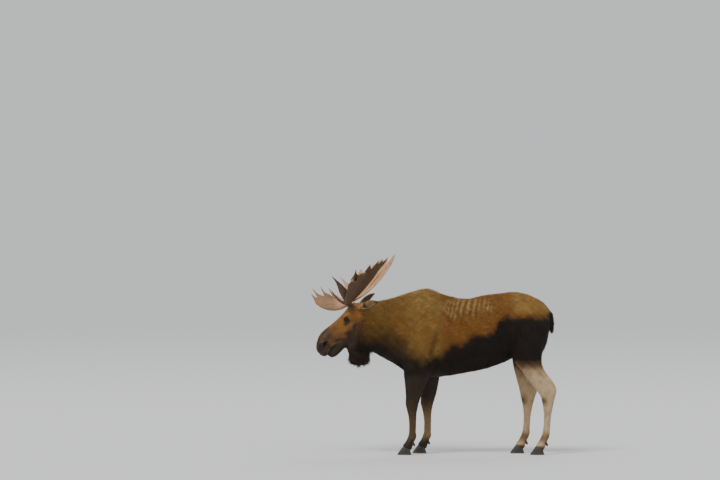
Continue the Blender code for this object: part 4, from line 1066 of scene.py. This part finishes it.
BODY_AXIS, DOWN = (1, 0, 0.05), (0, 0, -1)
COAT_PIECES = (  # name, where, axis of its map, left and right apart on it, rings, stand, ruffle
    ("coat_mane", between(-2, -0.42, lambda p: p[:, 2] >= 1.52), BODY_AXIS, False, 0, 0.85, 0.7),
    ("coat_throat", between(-2, -0.42, lambda p: p[:, 2] < 1.52), BODY_AXIS, False, 0, 0.85, 0.7),
    ("coat_shoulders", between(-0.42, 0.02), BODY_AXIS, False, 0, 0.95, 0.7),
    ("coat_ribs", between(0.02, 0.42), BODY_AXIS, False, 0, 1.0, 0.6),
    ("coat_flanks", between(0.42, 0.84), BODY_AXIS, False, 0, 1.0, 0.6),
    ("coat_haunches", between(0.84, 3), BODY_AXIS, False, 0, 0.95, 0.6),
    ("coat_forelegs", region(lambda p: ~above_legs(p) & (p[:, 0] < 0.4)), DOWN, True, 0, 0.9, 0.5),
    ("coat_hindlegs", region(lambda p: ~above_legs(p) & (p[:, 0] > 0.4)), DOWN, True, 0, 0.9, 0.5),
    ("coat_head", part(head_share), tuple(NOSEWARD), False, 0, 0.9, 0.4),
    ("coat_ears", part(ear_share), (0.7, 0, 0.4), True, 0, 1.2, 0.8),
    ("coat_bell", part(bell_share), DOWN, False, LONG_RINGS, 0.9, 0.6),
    ("coat_tail", part(tail_share), DOWN, False, 1, 1.0, 0.6),
)

for seed, (name, owned, axis, paired, rings, stand, ruffle) in enumerate(COAT_PIECES):
    where, way_out, masks = roots(owned, 1.0, 100 + seed)
    made = locks_from(where, way_out, masks, rings, stand, ruffle, 200 + 10 * seed)
    columns = (where[:, 1] > MIDDLE_Y).astype(int) if paired else np.zeros(len(where), int)
    locks = joined_locks(name, made, unrolled(where, axis, columns))
    locks.materials.append(COAT_PAINT)
    finished(name, locks, "golden_coat")


# ---- Eyes ---------------------------------------------------------------------------------------
# A dark brown eyeball sits behind each pair of lids: a clear, bulging front over a brown iris with a
# long level pupil. A row of stiff lashes grows from the edge of the upper lid.
CORNEA_REACH, CORNEA_BULGE = 0.0150, 0.0012
IRIS_RADIUS, PUPIL_HALF_LENGTH, PUPIL_HALF_HEIGHT = 0.0145, 0.0095, 0.0048
IRIS, IRIS_RIM = albedo(74, 44, 24), albedo(30, 18, 12)
PUPIL, EYE_WHITE = albedo(6, 5, 6), albedo(90, 70, 60)
LASHES, LASH_LENGTH, LASH_HALF_WIDTH, LASH_DROOP = 60, 0.017, 0.0005, 0.30
LASHES_FROM, LASHES_TO, LASHES_OUTSIDE = math.radians(22), math.radians(165), 0.0012
LASH_FAN, LASH_STRAY, LASH_RAISED = 18, 0.12, 0.25


def squared(tree, first, second):
    """The sum of the squares of two sockets."""
    squares = [reckoned(tree, "MULTIPLY", value, value) for value in (first, second)]
    return reckoned(tree, "ADD", *squares)


def soft_edge(tree, value, low, high):
    """0 to 1, smoothly, while value goes from low to high."""
    smooth = {"interpolation_type": "SMOOTHSTEP"}
    return node(tree, "ShaderNodeMapRange", smooth, {0: value, 1: low, 2: high}).outputs[0]


def eye_paint():
    """A wet brown iris with dark spokes and rim, a level oval pupil and a dull white round it."""
    made, tree, shader = paint("wet_eye")
    nose, up, _ = list(parted(tree, attribute(tree, "iris")))
    away = reckoned(tree, "SQRT", squared(tree, nose, up))
    oval = squared(
        tree,
        reckoned(tree, "DIVIDE", nose, PUPIL_HALF_LENGTH),
        reckoned(tree, "DIVIDE", up, PUPIL_HALF_HEIGHT),
    )
    turned = reckoned(tree, "MULTIPLY", reckoned(tree, "ARCTAN2", up, nose), 9.0)
    out = reckoned(tree, "MULTIPLY", away, 120.0)
    spokes = noise(tree, node(tree, "ShaderNodeCombineXYZ", X=turned, Y=out).outputs[0], 1.5, 3.0)
    colour = mixed(tree, spokes, IRIS_RIM, IRIS)
    colour = mixed(tree, soft_edge(tree, oval, 1.25, 0.85), colour, PUPIL)
    colour = mixed(tree, soft_edge(tree, away, IRIS_RADIUS - 0.002, IRIS_RADIUS), colour, IRIS_RIM)
    colour = mixed(tree, soft_edge(tree, away, IRIS_RADIUS + 0.001, IRIS_RADIUS + 0.004), colour, EYE_WHITE)
    fill(tree, shader, {"Base Color": colour, "Roughness": 0.10, "Specular IOR Level": 0.10})
    fill(tree, shader, {"Coat Weight": 0.30, "Coat Roughness": 0.03})
    return made


EYE_PAINT = eye_paint()
for side in SIDES:
    centre, axes = EYE_FLATS[side]
    ball = bmesh.new()
    bmesh.ops.create_uvsphere(ball, u_segments=64, v_segments=40, radius=EYE_RADIUS)
    for vert in ball.verts:
        bulge = max(0.0, 1 - (math.hypot(vert.co.x, vert.co.y) / CORNEA_REACH) ** 2)
        if vert.co.z > 0:
            vert.co.z += CORNEA_BULGE * bulge * (2 - bulge)
    eyeball = joined(f"eyeball_{side}", [ball])
    local = places_of(eyeball)
    keep(eyeball, "iris", local)
    if np.linalg.det(axes) < 0:  # the near eye's axes are left-handed, so its ball is turned inside out
        eyeball.flip_normals()
    move_to(eyeball, centre + local @ axes)
    eyeball.shade_smooth()
    eyeball.materials.append(EYE_PAINT)
    finished(f"eyeball_{side}", eyeball, "eye", f"eye_{side}")


def lash_row(side, chance):
    """Roots along the upper lid's edge, and the way each lash points: out, and fanned to both sides."""
    centre, axes = EYE_FLATS[side]
    turned = np.linspace(LASHES_FROM, LASHES_TO, LASHES) + chance.normal(size=LASHES) * 0.03
    nose, up = np.cos(turned), np.sin(turned)
    reach = oval_power_sum(nose, up, UPPER_LID) ** (-1 / APERTURE_POWER) + LASHES_OUTSIDE
    nose, up = nose * reach, up * reach
    height = np.sqrt(EYE_RADIUS**2 - nose**2 - up**2) + LASHES_OUTSIDE
    where = centre + np.stack((nose, up, height), axis=1) @ axes
    fanned = nose * LASH_FAN + chance.normal(size=LASHES) * LASH_STRAY
    way = np.stack(np.broadcast_arrays(fanned, LASH_RAISED, 1.0), axis=1) @ axes
    return where, way / np.linalg.norm(way, axis=1)[:, None], axes


lash_made, lash_map = [[], [], [], []], []
for number, side in enumerate(SIDES):
    chance = np.random.default_rng(31 + number)
    where, way, axes = lash_row(side, chance)
    template, triangles = lock_shape(LONG_RINGS)
    across = np.cross(axes[1], way)
    length = LASH_LENGTH * chance.uniform(0.7, 1.1, LASHES)
    along = template[:, 2]
    spots = where[:, None, :] + way[:, None, :] * (length[:, None] * along)[:, :, None]
    spots = spots - axes[1] * (LASH_DROOP * length[:, None] * along**2)[:, :, None]
    spots = spots + across[:, None, :] * (LASH_HALF_WIDTH * template[:, 0])[None, :, None]
    spots = spots + axes[1] * (LASH_HALF_WIDTH * template[:, 1])[None, :, None]
    first = (np.arange(LASHES) + number * LASHES) * len(template)
    strand = np.tile(np.column_stack((template[:, 0] * LASH_HALF_WIDTH, along, 0 * along)), (LASHES, 1))
    made = (
        spots.reshape(-1, 3),
        (triangles[None] + first[:, None, None]).reshape(-1, 3),
        strand,
        np.tile((0, 0.97, 0, 0, 0, 0), (len(strand), 1)),
    )
    for whole, row in zip(lash_made, made):
        whole.append(row)
    lash_map.append(np.column_stack((np.full(LASHES, 0.3 + 0.4 * number), np.linspace(0.1, 0.9, LASHES))))
lashes = joined_locks("lashes", [np.concatenate(rows) for rows in lash_made], np.concatenate(lash_map))
lashes.materials.append(COAT_PAINT)
finished("lashes", lashes, "dark_coat")


# ---- Antlers ------------------------------------------------------------------------------------
# Each antler is one piece of bone: a short beam out of a pearled burr, a wide hollow palm with its points,
# and a brow palm in front. Grooves where blood ran under the velvet spread from the beam to the points.
OFFSET = Vector((0.0077, -0.0182, 0))  # from the frame in which the antlers are drawn to the animal's own
PALM_FACING = Vector((-0.57, 0.51, 0.64))  # out of the hollow side of the left palm
# Points: (tip, bend or None for straight, half width of the palm, how far it reaches), as if on the right.
PALMS = {
    "left": {
        "root": ((-0.972, 0.045, 1.715), (-0.995, 0.135, 1.768), (-1.020, 0.270, 1.780)),
        "palm": (
            ((-0.555, 0.420, 2.308), (-0.820, 0.385, 2.010), 0.040, 0.86),
            ((-0.607, 0.500, 2.301), None, 0.050, 0.86),
            ((-0.660, 0.560, 2.285), None, 0.056, 0.86),
            ((-0.758, 0.630, 2.242), None, 0.064, 0.86),
            ((-0.835, 0.655, 2.150), None, 0.070, 1.00),
            ((-0.922, 0.682, 2.190), None, 0.058, 0.78),
            ((-0.955, 0.640, 2.068), None, 0.060, 0.86),
            ((-1.207, 0.600, 2.106), (-1.058, 0.440, 1.965), 0.052, 0.45),
        ),
        "brow": (
            ((-1.207, 0.330, 1.933), (-1.130, 0.300, 1.785), 0.030, 0.42),
            ((-1.190, 0.215, 1.905), (-1.130, 0.230, 1.780), 0.030, 0.42),
        ),
    },
    "right": {
        "root": ((-0.958, 0.090, 1.715), (-0.975, 0.180, 1.770), (-0.985, 0.310, 1.790)),
        "palm": (
            ((-0.457, 0.450, 2.345), (-0.679, 0.400, 1.925), 0.056, 0.86),
            ((-0.545, 0.545, 2.305), None, 0.060, 0.86),
            ((-0.620, 0.610, 2.280), None, 0.062, 0.86),
            ((-0.705, 0.665, 2.225), None, 0.066, 0.86),
            ((-0.780, 0.690, 2.140), None, 0.070, 1.00),
            ((-0.860, 0.715, 2.165), None, 0.066, 0.82),
            ((-0.930, 0.665, 2.030), None, 0.075, 1.00),
            ((-1.110, 0.650, 2.060), (-0.975, 0.490, 1.945), 0.046, 0.46),
        ),
        "brow": (
            ((-1.455, 0.300, 1.881), (-1.265, 0.235, 1.610), 0.046, 0.78),
            ((-1.435, 0.330, 1.938), (-1.265, 0.260, 1.670), 0.046, 0.74),
            ((-1.345, 0.360, 1.965), (-1.230, 0.300, 1.720), 0.046, 0.70),
            ((-1.244, 0.370, 1.943), (-1.160, 0.330, 1.760), 0.042, 0.62),
        ),
    },
}
BEAM_RADIUS, TINE_RADIUS = 0.029, 0.0125
FINGER_STEPS = 24
LONG_TINE = 0.6  # a point whose palm ends short of this share is a long tine
BLUNT_TAPER, TINE_TAPER = 0.12, 0.38  # the share of a point over which it narrows past its palm
PALM_SAG = 0.070  # how far the palm's middle bulges out of its back
ANTLER_VOXEL, ANTLER_TRIANGLES, ANTLER_ROUNDS = 0.0038, 64000, 18
BURR_RADIUS, PEARLS, PEARL_RADIUS = 0.043, 24, 0.0080
GROOVE_DEPTH, BONE_WAVES, FOOT_GNARLS, BEAM_FLUTES = 0.0016, 0.0010, 0.0016, 0.0014
BEAM_HALF_WIDTHS = (0.040, 0.040, 0.030, BEAM_RADIUS, 0.034, 0.02)
BEAM_HALF_DEPTHS = (0.038, 0.038, 0.029, BEAM_RADIUS, 0.028, 0.015)


def curve_through(start, bend, end, count):
    """Points on the smooth curve from start to end that is drawn towards bend."""
    steps = [i / (count - 1) for i in range(count)]
    return [start * (1 - t) ** 2 + bend * 2 * t * (1 - t) + end * t**2 for t in steps]


def strip(path, half_widths, half_depths, facing, sides=16):
    """A closed rod along the path, flattened across the way it faces."""
    shape = bmesh.new()
    bmesh.ops.create_cone(shape, cap_ends=True, segments=sides, radius1=1, radius2=1, depth=1)
    upright = [edge for edge in shape.edges if abs(edge.verts[0].co.z - edge.verts[1].co.z) > 0.5]
    bmesh.ops.subdivide_edges(shape, edges=upright, cuts=len(path) - 2)
    frames = []
    for i, point in enumerate(path):
        ahead = (path[min(i + 1, len(path) - 1)] - path[max(i - 1, 0)]).normalized()
        across = facing.cross(ahead).normalized()
        frames.append((point, across * half_widths[i], ahead.cross(across) * half_depths[i]))
    for vert in shape.verts:
        point, wide, deep = frames[round((vert.co.z + 0.5) * (len(path) - 1))]
        vert.co = point + wide * vert.co.x + deep * vert.co.y
    bmesh.ops.recalc_face_normals(shape, faces=shape.faces)
    return shape


def knob(centre, radius):
    shape = bmesh.new()
    bmesh.ops.create_icosphere(shape, subdivisions=2, radius=radius)
    bmesh.ops.translate(shape, vec=centre, verts=shape.verts)
    return shape


def point_strip(root, tip, bend, half_width, reach, facing):
    """A flat strip of palm that narrows to a round point, from the end of the beam to the point's tip."""
    path = curve_through(root, bend, tip, FINGER_STEPS)
    steps = [i / (FINGER_STEPS - 1) for i in range(FINGER_STEPS)]
    end = min(1.0, reach + (BLUNT_TAPER if reach > LONG_TINE else TINE_TAPER))
    tine = TINE_RADIUS if reach < 1 else 0.02
    stops = (0, 0.3, reach, end, 1.001)
    widths = np.interp(steps, stops, (0.030, half_width, half_width, tine, 0.004))
    depths = np.interp(steps, stops, (0.026, 0.015, 0.010, 0.010, 0.004))
    return strip(path, widths, depths, facing)


def fan_of_points(root, rows, flip, facing, sag):
    """Strips side by side from one root. Each lies flat in the sheet that its neighbours span."""
    tips = [Vector(row[0]) * flip for row in rows]
    made = []
    for i, (_, bend, half_width, reach) in enumerate(rows):
        across = tips[min(i + 1, len(tips) - 1)] - tips[max(i - 1, 0)]
        normal = across.cross(tips[i] - root).normalized()
        normal = (normal * math.copysign(1, normal.dot(facing)) + facing * 0.5).normalized()
        bend = (root + tips[i]) / 2 - normal * sag if bend is None else Vector(bend) * flip
        made.append(point_strip(root, tips[i], bend, half_width, reach, normal))
    return made


def burr(root, ahead):
    """The crown of bony pearls round the foot of the beam."""
    side_way = ahead.orthogonal().normalized()
    other = ahead.cross(side_way)
    chance = np.random.default_rng(8)
    knobs = []
    for number in range(PEARLS):
        turn = 2 * math.pi * number / PEARLS
        reach = BURR_RADIUS * chance.uniform(0.93, 1.06)
        place = root + (side_way * math.cos(turn) + other * math.sin(turn)) * reach
        place = place + ahead * chance.uniform(-0.005, 0.005)
        knobs.append(knob(place, PEARL_RADIUS * chance.uniform(0.8, 1.3)))
    return knobs


def whole_antler(side):
    """The antler's mesh, its foot and fork, the way its hollow side faces and its points' tips."""
    rows = PALMS[side]
    sign = SIDES[side]
    flip = Vector((1, sign, 1))
    facing = (PALM_FACING * Vector((1, -sign, 1))).normalized()
    root, middle, fork = [Vector(place) * flip for place in rows["root"]]
    path = [root, root.lerp(middle, 0.5), middle, middle.lerp(fork, 0.5), fork]
    path.append(fork * 2 - fork.lerp(middle, 0.2))
    brow_facing = Vector((0.2, -sign, 0.25)).normalized()
    shapes = [
        strip(path, BEAM_HALF_WIDTHS, BEAM_HALF_DEPTHS, facing),
        *burr(root.lerp(middle, 0.45), (middle - root).normalized()),
        *fan_of_points(fork, rows["palm"], flip, facing, PALM_SAG),
        *fan_of_points(middle.lerp(fork, 0.75), rows["brow"], flip, brow_facing, 0),
    ]
    for shape in shapes:
        bmesh.ops.translate(shape, vec=OFFSET, verts=shape.verts)
    tips = [Vector(row[0]) * flip + OFFSET for kind in ("palm", "brow") for row in rows[kind]]
    foot = (middle + OFFSET).lerp(root + OFFSET, 0.5)
    return joined(f"antler_{side}", shapes), np.array(foot), np.array(fork + OFFSET), facing, tips


def antler_paint():
    """Bone: dark on its back as painted shade, pale and pinkish in the hollow as painted light, rubbed to
    ivory at the points.
    """
    made, tree, shader = paint("antler_bone")
    lit_side, rubbed, groove = list(parted(tree, attribute(tree, "bone")))
    place = node(tree, "ShaderNodeTexCoord").outputs["Object"]
    cloud, grain = noise(tree, place, 9.0, 4.0), noise(tree, place, 240.0, 3.0)
    dark = mixed(tree, cloud, albedo(57, 37, 18), albedo(90, 61, 34))
    pale = mixed(tree, cloud, albedo(158, 114, 76), albedo(190, 146, 104))
    colour = mixed(tree, lit_side, dark, pale)
    colour = mixed(tree, reckoned(tree, "MULTIPLY", groove, 0.45), colour, albedo(60, 38, 24))
    colour = mixed(tree, reckoned(tree, "MULTIPLY", rubbed, 0.75), colour, albedo(196, 160, 124))
    value = reckoned(tree, "MULTIPLY_ADD", grain, 0.3, 0.85)
    colour = node(tree, "ShaderNodeHueSaturation", Value=value, Color=colour).outputs[0]
    rough = reckoned(tree, "MULTIPLY_ADD", rubbed, -0.2, 0.58)
    look = {"Base Color": colour, "Roughness": rough, "Normal": bumped(tree, grain, 0.5, 0.0012)}
    fill(tree, shader, look)
    return made


def nearest_tip(places, tips):
    """How far each place is from the nearest point's tip."""
    return np.min([np.linalg.norm(places - np.array(tip), axis=1) for tip in tips], axis=0)


ANTLER_PAINT = antler_paint()
for number, side in enumerate(SIDES):
    mesh, foot, fork, facing, tips = whole_antler(side)
    mesh = with_modifiers(mesh, ("REMESH", {**VOXELS, "voxel_size": ANTLER_VOXEL}))
    places = places_of(mesh)
    to_tip = nearest_tip(places, tips)
    to_foot = np.linalg.norm(places - foot, axis=1)
    eased = (0.25 + 0.75 * ramp(0.05, 0.12, to_tip)) * (0.3 + 0.7 * ramp(0.05, 0.09, to_foot))
    mesh = with_modifiers(mesh, ("SMOOTH", {"factor": 0.5, "iterations": ANTLER_ROUNDS}), weights=eased)
    share = ANTLER_TRIANGLES / len(mesh.polygons) / 2
    mesh = with_modifiers(mesh, ("TRIANGULATE", {}), ("DECIMATE", {"ratio": share}))
    mesh.validate()
    places, normals = places_of(mesh), normals_of(mesh)
    away = places - fork
    far = np.linalg.norm(away, axis=1)
    way_out = away / np.maximum(far, 1e-6)[:, None]
    to_tip = nearest_tip(places, tips)
    to_foot = np.linalg.norm(places - foot, axis=1)
    # Grooves: noise that is the same all the way out along each line from the fork.
    lines = drift(way_out + 0.02 * drift(places, 0.10, 60 + number)[:, None], 0.055, 50 + number)
    groove = ramp(0.25, 0.0, np.abs(lines)) * ramp(0.05, 0.12, far) * ramp(0.03, 0.10, to_tip)
    beam_way = (foot - fork) / np.linalg.norm(foot - fork)
    beside = places - beam_way * (0.88 * (places @ beam_way))[:, None]
    height = -GROOVE_DEPTH * groove + BONE_WAVES * drift(places, 0.035, 70 + number)
    height += FOOT_GNARLS * ramp(0.12, 0.05, to_foot) * drift(places, 0.010, 80)
    height += BEAM_FLUTES * ramp(0.19, 0.10, to_foot) * drift(beside, 0.012, 81 + number)
    move_to(mesh, places + normals * height[:, None])
    # Painted light and shade: bone facing out of the hollow is painted pale as if lit and the back dark as
    # if in shade; the low front about the brow is painted less pale.
    lit_side = ramp(-0.10, 0.35, normals @ np.array(facing)) * (0.55 + 0.45 * ramp(0.03, 0.10, far))
    lit_side *= 1 - 0.55 * ramp(-1.08, -1.20, places[:, 0]) * ramp(2.02, 1.96, places[:, 2])
    # The rubbed tips are also painted paler on the lit side.
    rubbed = ramp(0.045, 0.008, to_tip) * (0.35 + 0.65 * lit_side)
    keep(mesh, "bone", np.stack((lit_side, rubbed, groove), axis=1))
    mesh.shade_smooth()
    mesh.materials.append(ANTLER_PAINT)
    bone = [f"antler_{side}_{name}" for name in ("beam", "palm", "brow")]
    finished(f"antler_{side}", mesh, "dark_antler" if side == "left" else "pale_antler", *bone)


# ---- Hooves -------------------------------------------------------------------------------------
# Each foot stands on two claws of black horn, which grows down in rings, with two dewclaws behind the
# pastern. The horn is worn smooth at the rim and dusty in its rings.
HORN_SWELL, HORN_VOXEL, HORN_ROUNDS, HORN_TRIANGLES = 0.0004, 0.0025, 26, 10000
RING_SPACING, RING_DEPTH = 0.0075, 0.00014
RING_FALL, RING_WAVER = 0.030, 0.0030  # how far a ring falls from toe to heel, and how uneven it is


def horn_paint():
    """Black horn with upright fibres, dusty in its rings and worn pale at the rim."""
    made, tree, shader = paint("hoof_horn")
    dust, worn, _ = list(parted(tree, attribute(tree, "horn")))
    place = node(tree, "ShaderNodeTexCoord").outputs["Object"]
    drawn = node(tree, "ShaderNodeMapping", Vector=place, Scale=(1.0, 1.0, 0.12)).outputs[0]
    fibres = noise(tree, drawn, 420.0, 3.0)
    colour = mixed(tree, dust, albedo(34, 30, 28), albedo(72, 62, 52))
    colour = mixed(tree, worn, colour, albedo(96, 84, 70))
    rough = reckoned(tree, "MULTIPLY_ADD", fibres, 0.35, 0.28)
    look = {"Base Color": colour, "Roughness": rough, "Normal": bumped(tree, fibres, 0.4, 0.0006)}
    fill(tree, shader, look)
    return made


HORN_PAINT = horn_paint()
for number, name in enumerate(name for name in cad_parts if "claw_" in name):
    horn = swollen_copy([name], HORN_SWELL)
    horn = with_modifiers(horn, ("REMESH", {**VOXELS, "voxel_size": HORN_VOXEL}))
    horn = with_modifiers(horn, ("SMOOTH", {"factor": 0.5, "iterations": HORN_ROUNDS}), ("TRIANGULATE", {}))
    if len(horn.polygons) > HORN_TRIANGLES:
        horn = with_modifiers(horn, ("DECIMATE", {"ratio": HORN_TRIANGLES / len(horn.polygons)}))
    low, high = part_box(name)
    places, normals = places_of(horn), normals_of(horn)
    wall = 1 - np.abs(normals[:, 2]) ** 3
    slope = (places[:, 0] - low.x) / (high.x - low.x)
    rings = places[:, 2] + RING_FALL * slope + RING_WAVER * drift(places, 0.035, number)
    rings = rings * 2 * math.pi / RING_SPACING
    move_to(horn, places + normals * (RING_DEPTH * wall * np.sin(rings))[:, None])
    worn = ramp(0.016, 0.004, places[:, 2] - low.z) * 0.7
    dust = (0.35 - 0.20 * np.sin(rings)) * wall * (0.5 + 0.5 * drift(places, 0.03, 90 + number))
    keep(horn, "horn", np.stack((dust, worn, 0 * dust), axis=1))
    horn.shade_smooth()
    horn.materials.append(HORN_PAINT)
    finished(f"horn_{name}", horn, "hoof", name)


# ---- Studio -------------------------------------------------------------------------------------
# A plain pale floor that fades into a grey surround, under broad soft lamps, and the camera far off to
# the animal's left.
FLOOR_REACH, FADE_FROM, FADE_TO = 60.0, 5.0, 45.0
FLOOR_GREY, SURROUND, SURROUND_STRENGTH = (0.62, 0.62, 0.63, 1), (0.97, 0.985, 1.0, 1), 0.70
LAMPS = (  # name, the way it shines, spread in degrees, strength
    ("key", (0.35, 0.55, -0.85), 25, 2.3),
    ("fill", (-0.6, 0.6, -0.4), 60, 0.35),
    ("back", (-0.2, -0.8, -0.7), 40, 0.7),
)
LENS, SENSOR_WIDTH, SEES_TO = 250, 36, 1000
CAMERA_PLACE, CAMERA_DIP = (-0.867, -58.75, 3.572), 1.03  # in metres, and in degrees


def floor_paint():
    """Matt pale grey that turns clear far from the animal, where the surround takes over."""
    made, tree, shader = paint("studio_floor")
    place = node(tree, "ShaderNodeTexCoord").outputs["Object"]
    away = node(tree, "ShaderNodeVectorMath", {"operation": "LENGTH"}, {0: place}).outputs["Value"]
    reach = {0: away, 1: FADE_FROM, 2: FADE_TO, 3: 1.0, 4: 0.0}
    fade = node(tree, "ShaderNodeMapRange", {"interpolation_type": "SMOOTHSTEP"}, reach).outputs[0]
    fill(tree, shader, {"Base Color": FLOOR_GREY, "Roughness": 0.9, "Alpha": fade})
    return made


floor_shape = bmesh.new()
bmesh.ops.create_circle(floor_shape, cap_ends=True, segments=96, radius=FLOOR_REACH)
floor = in_scene("floor", joined("floor", [floor_shape]))
floor.data.materials.append(floor_paint())

world = bpy.data.worlds.new("studio")
world.use_nodes = True
surround = world.node_tree.nodes["Background"]
fill(world.node_tree, surround, {"Color": SURROUND, "Strength": SURROUND_STRENGTH})
bpy.context.scene.world = world

for name, way, spread, strength in LAMPS:
    lamp = in_scene(name, bpy.data.lights.new(name, "SUN"))
    lamp.data.angle = math.radians(spread)
    lamp.data.energy = strength
    lamp.rotation_euler = Vector(way).to_track_quat("-Z", "Y").to_euler()

camera = in_scene("camera", bpy.data.cameras.new("camera"))
camera.data.lens, camera.data.sensor_width, camera.data.clip_end = LENS, SENSOR_WIDTH, SEES_TO
camera.location = CAMERA_PLACE
camera.rotation_euler = (math.radians(90 - CAMERA_DIP), 0, 0)
bpy.context.scene.camera = camera
